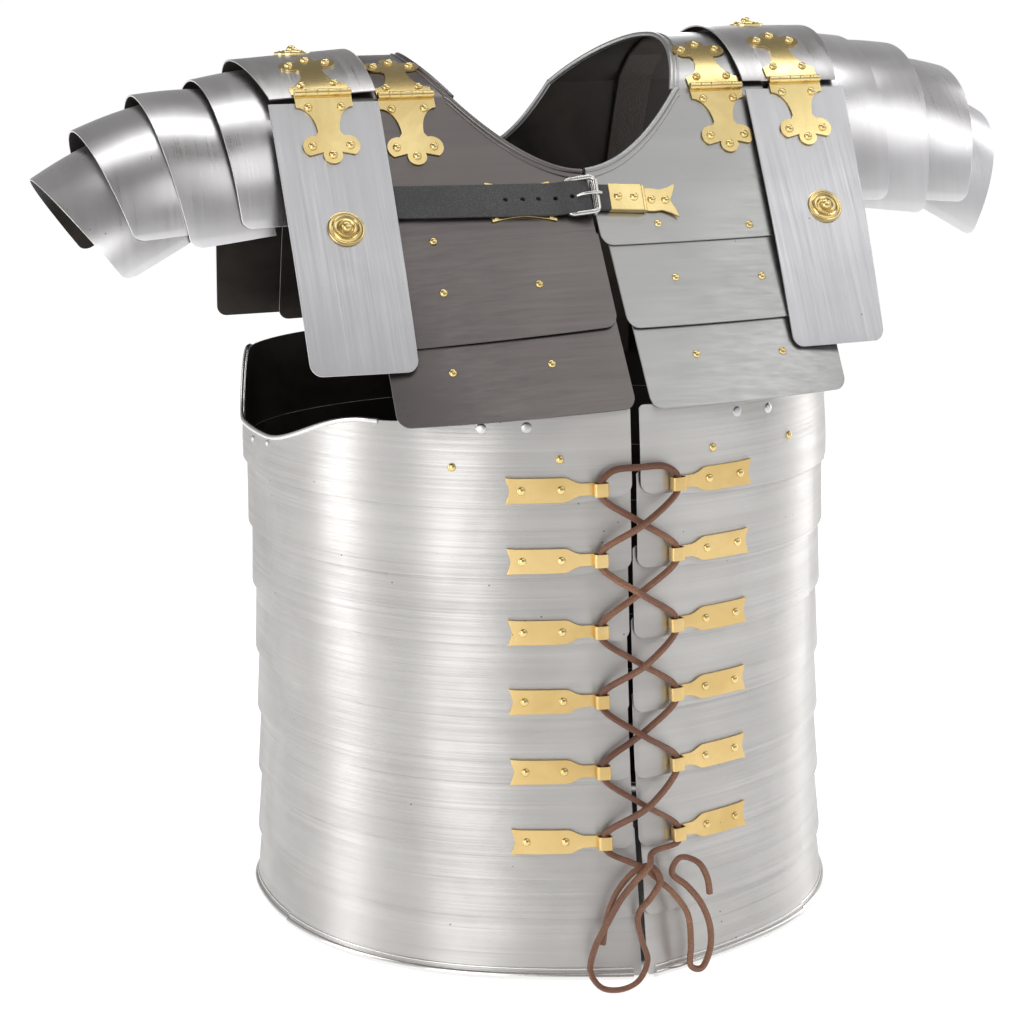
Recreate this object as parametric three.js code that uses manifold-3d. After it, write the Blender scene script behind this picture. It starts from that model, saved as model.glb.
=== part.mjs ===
// Segmented plate cuirass: eight girth bands laced at the front, a collar of
// hinged plates on each side and hinged shoulder guards with four arm plates.
// Millimetres, +Z up, the wearer faces -Y, the wearer's right is -X. It stands
// on the rolled rim of its lowest band, at Z = 0.
import * as THREE from 'three';
import { mergeVertices } from 'three/addons/utils/BufferGeometryUtils.js';
import Module from 'manifold-3d';

const wasm = await Module();
wasm.setup();

// ------------------------------------------------------------- dimensions
const SHEET = 1.2;              // steel of every plate
const GAP = 0.35;               // clearance between neighbouring pieces
const CORNER = 8;               // rounding of the plates' free corners
const RIM_MIDDLE = -38.3;       // middle of the bottom rim in Y, which becomes the origin

const GIRTH = {
  halfWidth: 203.5, frontDepth: 213, backDepth: 155,
  frontPower: 2.15, backPower: 2.3,   // superellipse of the plan, front and back
  waistHeight: 175, waistReach: 165, waistFlare: 0.022, flareTop: 345,
  keel: 17, keelHeight: 400, keelWidth: 110,   // front centre drawn forward, lower down
  overlap: 14, lean: 3.6, step: 12,            // lap of the bands, lean, facet in degrees
  lapLength: 7, ramp: 0.35, corner: 7,         // side seams, in degrees
  beadHeight: 6, beadDepth: 2.6,
};

// One row a band: height of the lower edge, rise of that edge at the front
// centre, middle and width of the front slit, side seams in degrees from the front.
const BANDS = [
  { lower: 329, rise: 7, slitAt: -1, slit: 6.0, seamRight: 87, seamLeft: 55 },
  { lower: 281, rise: 4, slitAt: -2, slit: 4.0, seamRight: 82, seamLeft: 48 },
  { lower: 235, rise: 1, slitAt: -4, slit: 3.2, seamRight: 81, seamLeft: 47 },
  { lower: 185, rise: 0, slitAt: -5, slit: 3.0, seamRight: 80, seamLeft: 46 },
  { lower: 139, rise: 0, slitAt: -5, slit: 3.0, seamRight: 79, seamLeft: 45 },
  { lower: 92, rise: 0, slitAt: -4, slit: 3.2, seamRight: 78, seamLeft: 44 },
  { lower: 44, rise: 0, slitAt: -2, slit: 3.6, seamRight: 77, seamLeft: 43 },
  { lower: 0, rise: 0, slitAt: -2, slit: 4.0, seamRight: 76, seamLeft: 42 },
];

// Top edge of band 1, by degrees from the front.
const ARMHOLE = {
  front: 394, frontFall: 10, bottom: 358, back: 404,
  fallFrom: 50, fallTo: 80, riseFrom: 96, riseTo: 112,
};

const TIE = {
  heights: [341, 293, 244, 196, 147, 98],
  outerX: 83, tongue: 46, eyeFrom: 54, length: 63.6,
  sheet: 1.2, eyeHeight: 9, eyeDepth: 7.8, eyeWall: 1.1,
};

// Upper body: a straight slope in front and a steeper one behind, joined by
// the arch of the shoulder.
const BODY = {
  hingeY: 80, hingeZ: 589, hemZ: 390,
  frontSlope: 0.70, frontBulge: 3, frontCurve: 0.00095,
  backSlope: 0.38, backBulge: 2, backCurve: 0.0004,
};
const NECK = { frontZ: 538, backZ: 541, hingeX: 84, backHingeX: 46, rise: 1.8,
  crestX: 96, crestY: -15, frontFall: 0.0036, backFall: 0.0055 };

const GUARD = {
  innerX: 133.4, outerX: 209, lowX: 203, lowZ: 417, backLowZ: 415, follow: 0.35,
  rimX: 206, rimBulge: 9, lift: 5.0, hingeX: 171.5,
};
const HINGE = { x: 113, length: 39, barrel: 2.5, sheet: 1.2,
  clear: 3.2, sunk: 0.5 };   // the guard's upper leaf: from its barrel, into its plate
// Half outline of a lobed hinge leaf: distance from the barrel, half width.
const LEAF = [
  { at: -0.6, half: 19.5 }, { at: 9, half: 20 }, { at: 16, half: 17.5 }, { at: 25, half: 10.5 },
  { at: 30, half: 9.5 }, { at: 33.5, half: 18 }, { at: 38, half: 20.5 }, { at: 43, half: 17 },
  { at: 46, half: 8.5 }, { at: 52, half: 4 },
];
const ROSETTE = { radius: 12.5, height: 5.5, sides: 10, frontZ: 505 };

// Arm plates from the shoulder outward: outer rim and tucked inner edge, each
// by its crest (x, z) and its lower corner (x, y, z). crestZ is for the
// wearer's right and left, because the right shoulder hangs lower.
const ARM = [
  { rimX: 243, rimZ: [602, 621.5], cornerX: 234, cornerY: 112, cornerZ: 509,
    tuckX: 187, tuckZ: [609, 624], tuckCornerX: 183, tuckCornerY: 110, tuckCornerZ: 511 },
  { rimX: 285, rimZ: [593, 615], cornerX: 267, cornerY: 105, cornerZ: 497,
    tuckX: 229, tuckZ: [595.5, 618], tuckCornerX: 211, tuckCornerY: 108.3, tuckCornerZ: 504 },
  { rimX: 326, rimZ: [570, 598], cornerX: 303, cornerY: 99.5, cornerZ: 503,
    tuckX: 273, tuckZ: [587.5, 607], tuckCornerX: 250, tuckCornerY: 100.5, tuckCornerZ: 508 },
  { rimX: 356, rimZ: [538, 565], cornerX: 310, cornerY: 96, cornerZ: 477,
    tuckX: 306, tuckZ: [564, 588], tuckCornerX: 263, tuckCornerY: 98, tuckCornerZ: 503 },
];

const ARM_BACK = 0.93;          // the arm plates reach less far behind than in front

const STRAP = { z: 521.5, width: 20, thickness: 2.4, from: 140, to: 4, lift: 2.1, overBar: 4.6 };
const BUCKLE = { barX: 5, height: 30, reach: 19, wire: 3, plateFrom: 12, plateTo: 39, tailTo: 68 };
const LACE = { diameter: 4, sides: 8, above: 1.4, turn: 1.0 };   // its turn out of an eye
const LEATHER = { x: 113, width: 26, thickness: 2, lowZ: 352, backLowZ: 372 };

// The wearer's right is at -X. crest is the height of the collar's arch,
// rimDrop the fall of the guard's outer rim, sway the slant of the long guard.
const SIDES = [
  { name: 'right', sign: -1, crest: 615.5, rimDrop: 5.5, sway: 6 },
  { name: 'left', sign: 1, crest: 626, rimDrop: 1.5, sway: -7 },
];

// ---------------------------------------------------------------- finishes
function finish(name, color, roughness, metalness) {
  return new THREE.MeshStandardMaterial({ name, color, roughness, metalness });
}

const steel = finish('brushed steel', 0xb9bbbd, 0.34, 1);
const brass = finish('brass', 0xd0a24c, 0.28, 1);
const nickel = finish('nickel', 0xd6d7d8, 0.22, 1);
const blackLeather = finish('dark leather', 0x3f4144, 0.6, 0);
const brownLeather = finish('brown leather', 0x4a3124, 0.6, 0);

const cuirass = new THREE.Group();

function addMesh(name, geometry, material) {
  const mesh = new THREE.Mesh(geometry.translate(0, -RIM_MIDDLE, 0), material);
  mesh.name = name;
  cuirass.add(mesh);
  return mesh;
}

// ------------------------------------------------------------ small helpers
const mix = (a, b, t) => a + (b - a) * t;
const clamp = (v, low, high) => Math.min(high, Math.max(low, v));
function smooth(from, to, v) {
  const t = clamp((v - from) / (to - from), 0, 1);
  return t * t * (3 - 2 * t);
}
const radians = (degrees) => degrees * Math.PI / 180;

/** Height lost by a rounded corner of radius r, at distance d from the edge. */
const cornerInset = (r, d) => (d >= r ? 0 : r - Math.sqrt(r * r - (r - d) ** 2));

/** Positions between two limits, close together at ends whose corners are rounded. */
function roundedColumns(from, to, count, r = CORNER, atFrom = true, atTo = true) {
  const sign = Math.sign(to - from);
  const start = atFrom ? [0, r * 0.28, r] : [0];
  const end = atTo ? [r, r * 0.28, 0] : [0];
  const inner = [];
  const a = from + sign * start.at(-1), b = to - sign * end[0];
  for (let i = 1; i < count; i++) inner.push(mix(a, b, i / count));
  return [...start.map((d) => from + sign * d), ...inner, ...end.map((d) => to - sign * d)];
}

/** Turns a closed geometry the right way out if it is inside out. */
function faceOutward(geometry) {
  const p = geometry.getAttribute('position'), index = geometry.getIndex();
  const a = new THREE.Vector3(), b = new THREE.Vector3(), c = new THREE.Vector3();
  let volume = 0;
  for (let i = 0; i < index.count; i += 3) {
    a.fromBufferAttribute(p, index.getX(i)); b.fromBufferAttribute(p, index.getX(i + 1));
    c.fromBufferAttribute(p, index.getX(i + 2));
    volume += a.dot(b.cross(c));
  }
  if (volume < 0) {
    for (let i = 0; i < index.count; i += 3) {
      const keep = index.getX(i + 1);
      index.setX(i + 1, index.getX(i + 2)); index.setX(i + 2, keep);
    }
  }
  return geometry;
}

/**
 * A plate from two grids of points, its outer and its inner face, joined
 * round the edge. outer and inner give a point for column i and row j.
 */
function plateGeometry(columns, rows, outer, inner) {
  const vertices = [], faces = [];
  const at = (face, i, j) => (face * columns + i) * rows + j;
  for (const face of [outer, inner])
    for (let i = 0; i < columns; i++) for (let j = 0; j < rows; j++) vertices.push(...face(i, j));
  const quad = (a, b, c, d) => faces.push(a, b, c, a, c, d);
  for (let i = 0; i + 1 < columns; i++) {
    for (let j = 0; j + 1 < rows; j++) {
      quad(at(0, i, j), at(0, i + 1, j), at(0, i + 1, j + 1), at(0, i, j + 1));
      quad(at(1, i, j), at(1, i, j + 1), at(1, i + 1, j + 1), at(1, i + 1, j));
    }
    quad(at(0, i + 1, 0), at(0, i, 0), at(1, i, 0), at(1, i + 1, 0));
    quad(at(0, i, rows - 1), at(0, i + 1, rows - 1), at(1, i + 1, rows - 1), at(1, i, rows - 1));
  }
  for (let j = 0; j + 1 < rows; j++) {
    quad(at(0, 0, j), at(0, 0, j + 1), at(1, 0, j + 1), at(1, 0, j));
    quad(at(0, columns - 1, j + 1), at(0, columns - 1, j), at(1, columns - 1, j), at(1, columns - 1, j + 1));
  }
  const geometry = new THREE.BufferGeometry();
  geometry.setAttribute('position', new THREE.Float32BufferAttribute(vertices, 3));
  geometry.setIndex(faces);
  return faceOutward(geometry);
}

function toSolid(geometry) {
  const bare = geometry.clone();
  bare.deleteAttribute('normal');
  bare.deleteAttribute('uv');
  const merged = mergeVertices(bare, 1e-4);
  return new wasm.Manifold(new wasm.Mesh({
    numProp: 3,
    vertProperties: new Float32Array(merged.getAttribute('position').array),
    triVerts: new Uint32Array(merged.getIndex().array),
  }));
}

/** Joins closed geometries into one. */
function joined(...geometries) {
  const solid = geometries.map(toSolid).reduce((a, b) => a.add(b));
  const mesh = solid.getMesh();
  const geometry = new THREE.BufferGeometry();
  geometry.setAttribute('position', new THREE.Float32BufferAttribute(mesh.vertProperties, 3));
  geometry.setIndex(Array.from(mesh.triVerts));
  return geometry;
}

/** Puts a geometry drawn on axes (u, v, n) onto a place with these directions. */
function placed(geometry, origin, u, v, n) {
  const m = new THREE.Matrix4().makeBasis(u, v, n);
  m.setPosition(origin);
  return faceOutward(geometry.applyMatrix4(m));
}

/** A block in its own axes, from its low to its high corner. */
function block(x0, x1, y0, y1, z0, z1) {
  const g = new THREE.BoxGeometry(x1 - x0, y1 - y0, z1 - z0);
  return g.translate((x0 + x1) / 2, (y0 + y1) / 2, (z0 + z1) / 2);
}

/** A flat outline in (u, v), thickened along n. */
function outlineSolid(points, from, thickness, holes = []) {
  const shape = new THREE.Shape(points.map(([u, v]) => new THREE.Vector2(u, v)));
  for (const hole of holes) shape.holes.push(new THREE.Path(hole.map(([u, v]) => new THREE.Vector2(u, v))));
  return new THREE.ExtrudeGeometry(shape, { depth: thickness, bevelEnabled: false }).translate(0, 0, from);
}

// ------------------------------------------------------------- girth bands
const STATIONS = Math.round(360 / GIRTH.step);

/** Plan of the trunk at a height, at a station counted from the front centre. */
function stationPoint(i, z) {
  const angle = radians(i * GIRTH.step);
  const s = Math.sin(angle), c = Math.cos(angle);
  const front = c > 0;
  const power = 2 / (front ? GIRTH.frontPower : GIRTH.backPower);
  const fromWaist = (Math.min(z, GIRTH.flareTop) - GIRTH.waistHeight) / GIRTH.waistReach;
  const flare = 1 + GIRTH.waistFlare * fromWaist ** 2;
  const x = GIRTH.halfWidth * Math.sign(s) * Math.abs(s) ** power * flare;
  let y = -(front ? GIRTH.frontDepth : GIRTH.backDepth) * Math.sign(c) * Math.abs(c) ** power * flare;
  const keel = GIRTH.keel * (1 - z / GIRTH.keelHeight) ** 2;
  if (front) y -= keel * Math.max(0, 1 - Math.abs(x) / GIRTH.keelWidth) ** 2;
  return [x, y];
}

/** Outward direction at a station that keeps facets parallel when offset. */
function stationNormal(i) {
  const [a, b, c] = [i - 1, i, i + 1].map((k) => stationPoint(k, GIRTH.waistHeight));
  const normal = (p, q) => {
    const l = Math.hypot(q[0] - p[0], q[1] - p[1]);
    return [(q[1] - p[1]) / l, -(q[0] - p[0]) / l];
  };
  const m = normal(a, b), n = normal(b, c);
  const k = 1 + m[0] * n[0] + m[1] * n[1];
  return [(m[0] + n[0]) / k, (m[1] + n[1]) / k];
}

/** Point outside the trunk at an angle in degrees, a height and an offset. */
function girthPoint(degrees, z, offset) {
  const i = Math.floor(degrees / GIRTH.step), t = degrees / GIRTH.step - i;
  const a = stationPoint(i, z), b = stationPoint(i + 1, z);
  const m = stationNormal(i), n = stationNormal(i + 1);
  const [x, y] = [0, 1].map((axis) => mix(a[axis], b[axis], t) + mix(m[axis], n[axis], t) * offset);
  return [x, y, z];
}

/** Angle in degrees at which the front facet has this x. */
const angleAtX = (x) => GIRTH.step * x / stationPoint(1, GIRTH.waistHeight)[0];

/** Fall-off of a front-centre feature with distance from the slit. */
const nearSlit = (x) => Math.max(0, 1 - Math.abs(x) / 120) ** 2;

function bandUpper(index, degrees, x) {
  if (index > 0) return BANDS[index - 1].lower + BANDS[index - 1].rise * nearSlit(x) + GIRTH.overlap;
  const d = Math.min(degrees, 360 - degrees);
  const front = ARMHOLE.front - ARMHOLE.frontFall * Math.min(1, (x / 150) ** 2);
  const down = smooth(ARMHOLE.fallFrom, ARMHOLE.fallTo, d), up = smooth(ARMHOLE.riseFrom, ARMHOLE.riseTo, d);
  return mix(mix(front, ARMHOLE.bottom, down), ARMHOLE.back, up);
}

const bandNominalTop = (index) => (index > 0 ? BANDS[index - 1].lower + GIRTH.overlap : BANDS[0].lower + 62);

/** Offset of a band's inner face at a height: every band leans out downward. */
function bandLean(index, z) {
  const top = bandNominalTop(index);
  return GIRTH.lean * (top - z) / (top - BANDS[index].lower);
}

/** Which sheets lie at an angle: offsets of the inner and the outer face. */
function bandSheets(band, degrees) {
  const onLeft = degrees < 180;
  const d = onLeft ? degrees : 360 - degrees;
  const seam = onLeft ? band.seamLeft : band.seamRight;
  return {
    inner: d < seam - GIRTH.lapLength ? SHEET : 0,
    outer: d < seam ? 2 * SHEET : SHEET,
  };
}

function bandColumns(index) {
  const band = BANDS[index];
  const first = angleAtX(band.slitAt + band.slit / 2), last = 360 + angleAtX(band.slitAt - band.slit / 2);
  const perMm = GIRTH.step / stationPoint(1, GIRTH.waistHeight)[0];
  const r = GIRTH.corner;
  const inset = [0, 0.28 * r, r].map((d) => d * perMm);
  const angles = [...inset.map((d) => first + d), ...inset.map((d) => last - d)];
  for (let i = 1; i < STATIONS; i++) angles.push(i * GIRTH.step);
  for (const edge of [band.seamLeft - GIRTH.lapLength, band.seamLeft]) angles.push(edge, edge + GIRTH.ramp);
  for (const edge of [band.seamRight - GIRTH.lapLength, band.seamRight]) {
    angles.push(360 - edge, 360 - edge - GIRTH.ramp);
  }
  if (index === 0) for (let d = 45; d <= 115; d += 5) angles.push(d + 0.01, 360 - d - 0.01);
  angles.sort((a, b) => a - b);
  return angles.filter((a, i) => i === 0 || a - angles[i - 1] > 0.1);
}

function girthBand(index) {
  const band = BANDS[index];
  const columns = bandColumns(index);
  const perMm = GIRTH.step / stationPoint(1, GIRTH.waistHeight)[0];
  const bottomBand = index === BANDS.length - 1;
  const grid = columns.map((degrees) => {
    const x = girthPoint(degrees, band.lower, 0)[0];
    const front = degrees < 90 || degrees > 270;
    const fromEnd = Math.min(degrees - columns[0], columns.at(-1) - degrees) / perMm;
    const low = band.lower + (front ? band.rise * nearSlit(x) : 0) + cornerInset(GIRTH.corner, fromEnd);
    const high = bandUpper(index, degrees, front ? x : 999) - cornerInset(3, fromEnd);
    const heights = bottomBand
      ? [[low, GIRTH.beadDepth], [low + GIRTH.beadHeight - 1, GIRTH.beadDepth],
        [low + GIRTH.beadHeight, 0], [high, 0]]
      : [[low, 0], [high, 0]];
    // the seam itself is stepped over a short ramp just past each edge
    const sheets = bandSheets(band, degrees);
    return heights.map(([z, bead]) => ({
      outer: girthPoint(degrees, z, bandLean(index, z) + sheets.outer + bead),
      inner: girthPoint(degrees, z, bandLean(index, z) + sheets.inner),
    }));
  });
  const outer = (i, j) => grid[i][j].outer, inner = (i, j) => grid[i][j].inner;
  return plateGeometry(columns.length, grid[0].length, outer, inner);
}

// --------------------------------------------------------------- tie loops
/** Frame of the flat facet under a tie loop: origin, inward, up and outward. */
function tieFrame(side, index) {
  const z = TIE.heights[index];
  const at = (degrees, height) => {
    const p = girthPoint(degrees, height, bandLean(index, height) + 2 * SHEET);
    return new THREE.Vector3(side.sign * p[0], p[1], p[2]);
  };
  const near = at(GIRTH.step, z), far = at(2 * GIRTH.step, z), above = at(2 * GIRTH.step, z + 10);
  const inward = near.clone().sub(far).normalize();
  const up = above.sub(far);
  up.addScaledVector(inward, -up.dot(inward)).normalize();
  const out = inward.clone().cross(up).normalize();
  if (out.y > 0) out.negate();
  const t = (TIE.outerX - Math.abs(far.x)) / Math.abs(inward.x);
  const origin = far.clone().addScaledVector(inward, -t);
  // the eye's back clears the band below it
  const eyeBack = Math.max(...[TIE.eyeFrom, TIE.length].flatMap((d) => [-1, 1].map((end) => {
    const x = Math.abs(origin.clone().addScaledVector(inward, d).x);
    return at(angleAtX(x), z + end * TIE.eyeHeight / 2).sub(origin).dot(out);
  }))) + GAP;
  return { origin, inward, up, out, eyeBack: Math.max(eyeBack, -1.5) };
}

function tieLoop(side, index) {
  const { origin, inward, up, out, eyeBack } = tieFrame(side, index);
  const s = TIE.sheet, e = TIE.eyeFrom, l = TIE.length;
  const outline = [[0, -10.5], [5, 0], [0, 10.5], [8, 10.2], [14, 7.6], [34, 7.6],
    [TIE.tongue, 4], [e + 2, 4], [e + 2, -4], [TIE.tongue, -4], [34, -7.6], [14, -7.6], [8, -10.2]];
  const plate = outlineSolid(outline, GAP, s);   // the tongue runs into the eye
  const low = eyeBack, high = low + TIE.eyeDepth, w = TIE.eyeWall, h = TIE.eyeHeight / 2;
  // the eye is a flattened tube standing upright, drawn in plan and turned up
  const plan = [[e, low], [l, low], [l, high], [e, high]];
  const bore = [[e + w, low + w], [l - w, low + w], [l - w, high - w], [e + w, high - w]];
  const eye = outlineSolid(plan, -h, 2 * h, [bore]);
  eye.rotateX(Math.PI / 2);
  return placed(joined(plate, eye), origin, inward, up, out);
}

// -------------------------------------------------------------- upper body
const bodyFall = (z) => clamp((BODY.hingeZ - z) / (BODY.hingeZ - BODY.hemZ), 0, 1.2);

/** Chest or back surface at x and z, moved outward by an offset. */
function bodyPoint(front, x, z, offset) {
  const slope = front ? BODY.frontSlope : BODY.backSlope;
  const bulge = (front ? BODY.frontBulge : BODY.backBulge) * Math.sin(Math.PI * Math.min(1, bodyFall(z)));
  const curve = (front ? BODY.frontCurve : BODY.backCurve) * bodyFall(z);
  const depth = BODY.hingeY + slope * (BODY.hingeZ - z) + bulge - curve * x * x;
  const length = Math.hypot(1, slope);
  const y = depth + offset / length, h = z + offset * slope / length;
  return [x, front ? -y : y, h];
}

/** Shoulder arch of a side: angle from the crest in degrees, radius offset. */
function archPoint(side, x, degrees, offset) {
  const sag = side.crest - SHEET - BODY.hingeZ;
  const radius = (BODY.hingeY ** 2 + sag ** 2) / (2 * sag);
  const a = radians(degrees);
  return [x, (radius + offset) * Math.sin(a), side.crest - SHEET - radius + (radius + offset) * Math.cos(a)];
}
function archEnd(side) {
  const sag = side.crest - SHEET - BODY.hingeZ;
  const radius = (BODY.hingeY ** 2 + sag ** 2) / (2 * sag);
  return Math.asin(BODY.hingeY / radius) * 180 / Math.PI;
}

const signed = (side, [x, y, z]) => [side.sign * x, y, z];

/**
 * A collar plate over the chest or back. spec gives its inner and outer edge
 * in x, low(x) and high(x), and the offset of its inner face at top and bottom.
 */
function bodyPlate(side, front, spec, count, rows) {
  const columns = roundedColumns(spec.innerX, spec.outerX, count, CORNER);
  const height = (x, j) => {
    const d = Math.min(x - spec.innerX, spec.outerX - x);
    const low = spec.low(x) + cornerInset(CORNER, d);
    return mix(low, spec.high(x), j / (rows - 1));
  };
  const point = (i, j, extra) => {
    const x = columns[i], z = height(x, j);
    return signed(side, bodyPoint(front, x, z, plateLift(spec, z) + extra));
  };
  return plateGeometry(columns.length, rows, (i, j) => point(i, j, SHEET), (i, j) => point(i, j, 0));
}

/** Offset of a collar plate's inner face at a height. */
function plateLift(spec, z) {
  const high = spec.high(spec.outerX), low = spec.low(spec.outerX);
  return mix(spec.liftTop, spec.liftLow, clamp((high - z) / (high - low), 0, 1));
}

const neckEdge = (front) => (x) => {
  const base = front ? NECK.frontZ : NECK.backZ, reach = front ? NECK.hingeX : NECK.backHingeX;
  return mix(base, BODY.hingeZ - 4, clamp(x / reach, 0, 1) ** NECK.rise);
};

function shoulderPlate(side) {
  const end = archEnd(side) - 0.6, count = 10;
  const inner = (y) => {
    const fall = y < NECK.crestY ? NECK.frontFall : NECK.backFall;
    return NECK.crestX - fall * (y - NECK.crestY) ** 2;
  };
  const point = (i, j, offset) => {
    const degrees = mix(-end, end, i / count);
    const y = archPoint(side, 0, degrees, 0)[1];
    return signed(side, archPoint(side, j === 0 ? inner(y) : 150, degrees, offset));
  };
  return plateGeometry(count + 1, 2, (i, j) => point(i, j, SHEET), (i, j) => point(i, j, 0));
}

// Collar plates: edges in x, lower and upper edge in z, offsets of the inner
// face. On the right the middle plate lies over both others; on the left each
// upper plate lies over the one below.
const COLLAR = {
  right: {
    top: { innerX: 0.2, outerX: 150, low: () => 488, high: neckEdge(true), liftTop: 0, liftLow: 0 },
    mid: { innerX: 0.2, outerX: 158, low: (x) => 440 - 0.06 * x, high: (x) => 500 - 0.06 * x,
      liftTop: 2.9, liftLow: 2.9 },
    low: { innerX: 0.2, outerX: 157, low: (x) => 390 - 0.04 * x, high: (x) => 452 - 0.04 * x,
      liftTop: 0, liftLow: 4 },
  },
  left: {
    top: { innerX: 1.6, outerX: 150, low: () => 490, high: neckEdge(true), liftTop: 0, liftLow: 2.1 },
    mid: { innerX: 6.5, outerX: 158, low: () => 438, high: () => 502, liftTop: 0, liftLow: 3 },
    low: { innerX: 10, outerX: 162, low: () => 388.5, high: () => 450, liftTop: 0, liftLow: 4 },
  },
};

const BACK = {
  top: { innerX: 1.5, outerX: 150, low: () => 488, high: neckEdge(false), liftTop: 0, liftLow: 2.1 },
  low: { innerX: 1.5, outerX: 156, low: () => 412, high: () => 500, liftTop: 0, liftLow: 0 },
};

// ------------------------------------------------------------------ hinges
/** A leaf laid along a path: path(distance, offset) gives (y, z) of a place. */
function hingeLeaf(side, centreX, path) {
  const point = (i, j, offset) => {
    const { at, half } = LEAF[i];
    const x = centreX + (j === 0 ? -half : half);
    const [y, z] = path(at, offset, x);
    return [side.sign * x, y, z];
  };
  return plateGeometry(LEAF.length, 2, (i, j) => point(i, j, GAP + HINGE.sheet), (i, j) => point(i, j, GAP));
}

/** Path down the chest or back from the barrel, over a plate of this spec. */
const downPath = (front, spec) => (distance, offset, x) => {
  const slope = front ? BODY.frontSlope : BODY.backSlope;
  const z = BODY.hingeZ - (distance + 1) / Math.hypot(1, slope);
  const p = bodyPoint(front, x, z, plateLift(spec, z) + SHEET + offset);
  return [p[1], p[2]];
};
/** Path up over the shoulder from the barrel. */
const upPath = (side, front, lift) => (distance, offset) => {
  const end = archEnd(side);
  const sag = side.crest - SHEET - BODY.hingeZ;
  const radius = (BODY.hingeY ** 2 + sag ** 2) / (2 * sag);
  const degrees = end - (distance + 1) / radius * 180 / Math.PI;
  const p = archPoint(side, 0, front ? -degrees : degrees, lift + SHEET + offset);
  return [p[1], p[2]];
};

/** Centre line of a barrel in (y, z), over the ridge between arch and slope. */
function barrelCentre(side, front, lift) {
  const end = radians(archEnd(side)), slope = front ? BODY.frontSlope : BODY.backSlope;
  const out = new THREE.Vector2(Math.sin(end), Math.cos(end));
  out.add(new THREE.Vector2(1, slope).normalize()).normalize();
  const reach = lift + SHEET + GAP + HINGE.barrel;
  const y = BODY.hingeY + out.x * reach, z = BODY.hingeZ + out.y * reach;
  return [front ? -y : y, z];
}

function barrel(side, front, centreX, lift) {
  const [y, z] = barrelCentre(side, front, lift);
  const g = new THREE.CylinderGeometry(HINGE.barrel, HINGE.barrel, HINGE.length, 10);
  return g.rotateZ(Math.PI / 2).translate(side.sign * centreX, y, z);
}

// ---------------------------------------------------------- upper shoulder
/** Guard's own surface over the shoulder: slightly lower at its outer rim. */
function guardLift(side, x) {
  const reach = GUARD.rimX + GUARD.rimBulge - GUARD.innerX;
  return GUARD.lift - side.rimDrop * clamp((x - GUARD.innerX) / reach, 0, 1);
}

function rosette(centre, normal) {
  const { radius, height, sides } = ROSETTE;
  const profile = [[0, -0.6], [radius, -0.6], [radius, 1.4], [radius * 0.4, 2.4], [0, height]];
  const g = new THREE.LatheGeometry(profile.map(([r, h]) => new THREE.Vector2(r, h)), sides);
  const q = new THREE.Quaternion().setFromUnitVectors(new THREE.Vector3(0, 1, 0), normal);
  g.applyQuaternion(q).translate(centre.x, centre.y, centre.z);
  return faceOutward(mergeVertices(stripped(g), 1e-3));
}
function stripped(g) {
  g.deleteAttribute('uv');
  g.deleteAttribute('normal');
  return g;
}

function guardMiddle(side) {
  const end = archEnd(side) - 0.9, count = 12;
  const point = (i, j, offset) => {
    const degrees = mix(-end, end, i / count);
    const outer = GUARD.rimX + GUARD.rimBulge * Math.cos(radians(90 * degrees / end));
    const x = j === 0 ? GUARD.innerX : outer;
    return signed(side, archPoint(side, x, degrees, guardLift(side, x) + offset));
  };
  const plate = plateGeometry(count + 1, 2, (i, j) => point(i, j, SHEET), (i, j) => point(i, j, 0));
  const lift = guardLift(side, GUARD.hingeX);
  const crest = archPoint(side, GUARD.hingeX, 0, lift + SHEET);
  const parts = [plate, rosette(new THREE.Vector3(...signed(side, crest)), new THREE.Vector3(0, 0, 1))];
  for (const front of [true, false]) {
    const above = (d, offset, x) =>
      upPath(side, front, guardLift(side, x))(d + HINGE.clear, offset - GAP - HINGE.sunk);
    parts.push(hingeLeaf(side, GUARD.hingeX, above));
  }
  return joined(...parts);
}

/** Long hinged plate of the guard, in front or behind. */
function guardLong(side, front) {
  const lowZ = front ? GUARD.lowZ : GUARD.backLowZ, highZ = BODY.hingeZ - 4;
  const share = roundedColumns(0, 1, 3, CORNER / 72);
  const rows = 4;
  const sway = front ? side.sway : 0;
  const edge = (z) => {
    const t = (highZ - z) / (highZ - lowZ);
    return [GUARD.innerX - 1 * t + sway * t, mix(GUARD.outerX, GUARD.lowX, t) + sway * t];
  };
  const point = (i, j, extra) => {
    const d = Math.min(share[i], 1 - share[i]) * 72;
    const z = mix(lowZ + cornerInset(CORNER, d), highZ, j / (rows - 1));
    const [a, b] = edge(z);
    const x = mix(a, b, share[i]);
    return signed(side, guardPoint(front, x, z, extra));
  };
  const plate = plateGeometry(share.length, rows, (i, j) => point(i, j, SHEET), (i, j) => point(i, j, 0));
  const at = guardPoint(front, GUARD.hingeX, ROSETTE.frontZ, SHEET);
  const slope = front ? BODY.frontSlope : BODY.backSlope;
  const normal = new THREE.Vector3(0, front ? -1 : 1, slope).normalize();
  return joined(plate, rosette(new THREE.Vector3(...signed(side, at)), normal));
}
/** The long guard plate lies over the collar plates and is flatter than they are. */
function guardPoint(front, x, z, extra) {
  const lift = GUARD.lift + 1.5 * Math.sin(Math.PI * Math.min(1, bodyFall(z)));
  const p = bodyPoint(front, mix(GUARD.innerX, x, GUARD.follow), z, lift + extra);
  return [x, p[1], p[2]];
}

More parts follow.
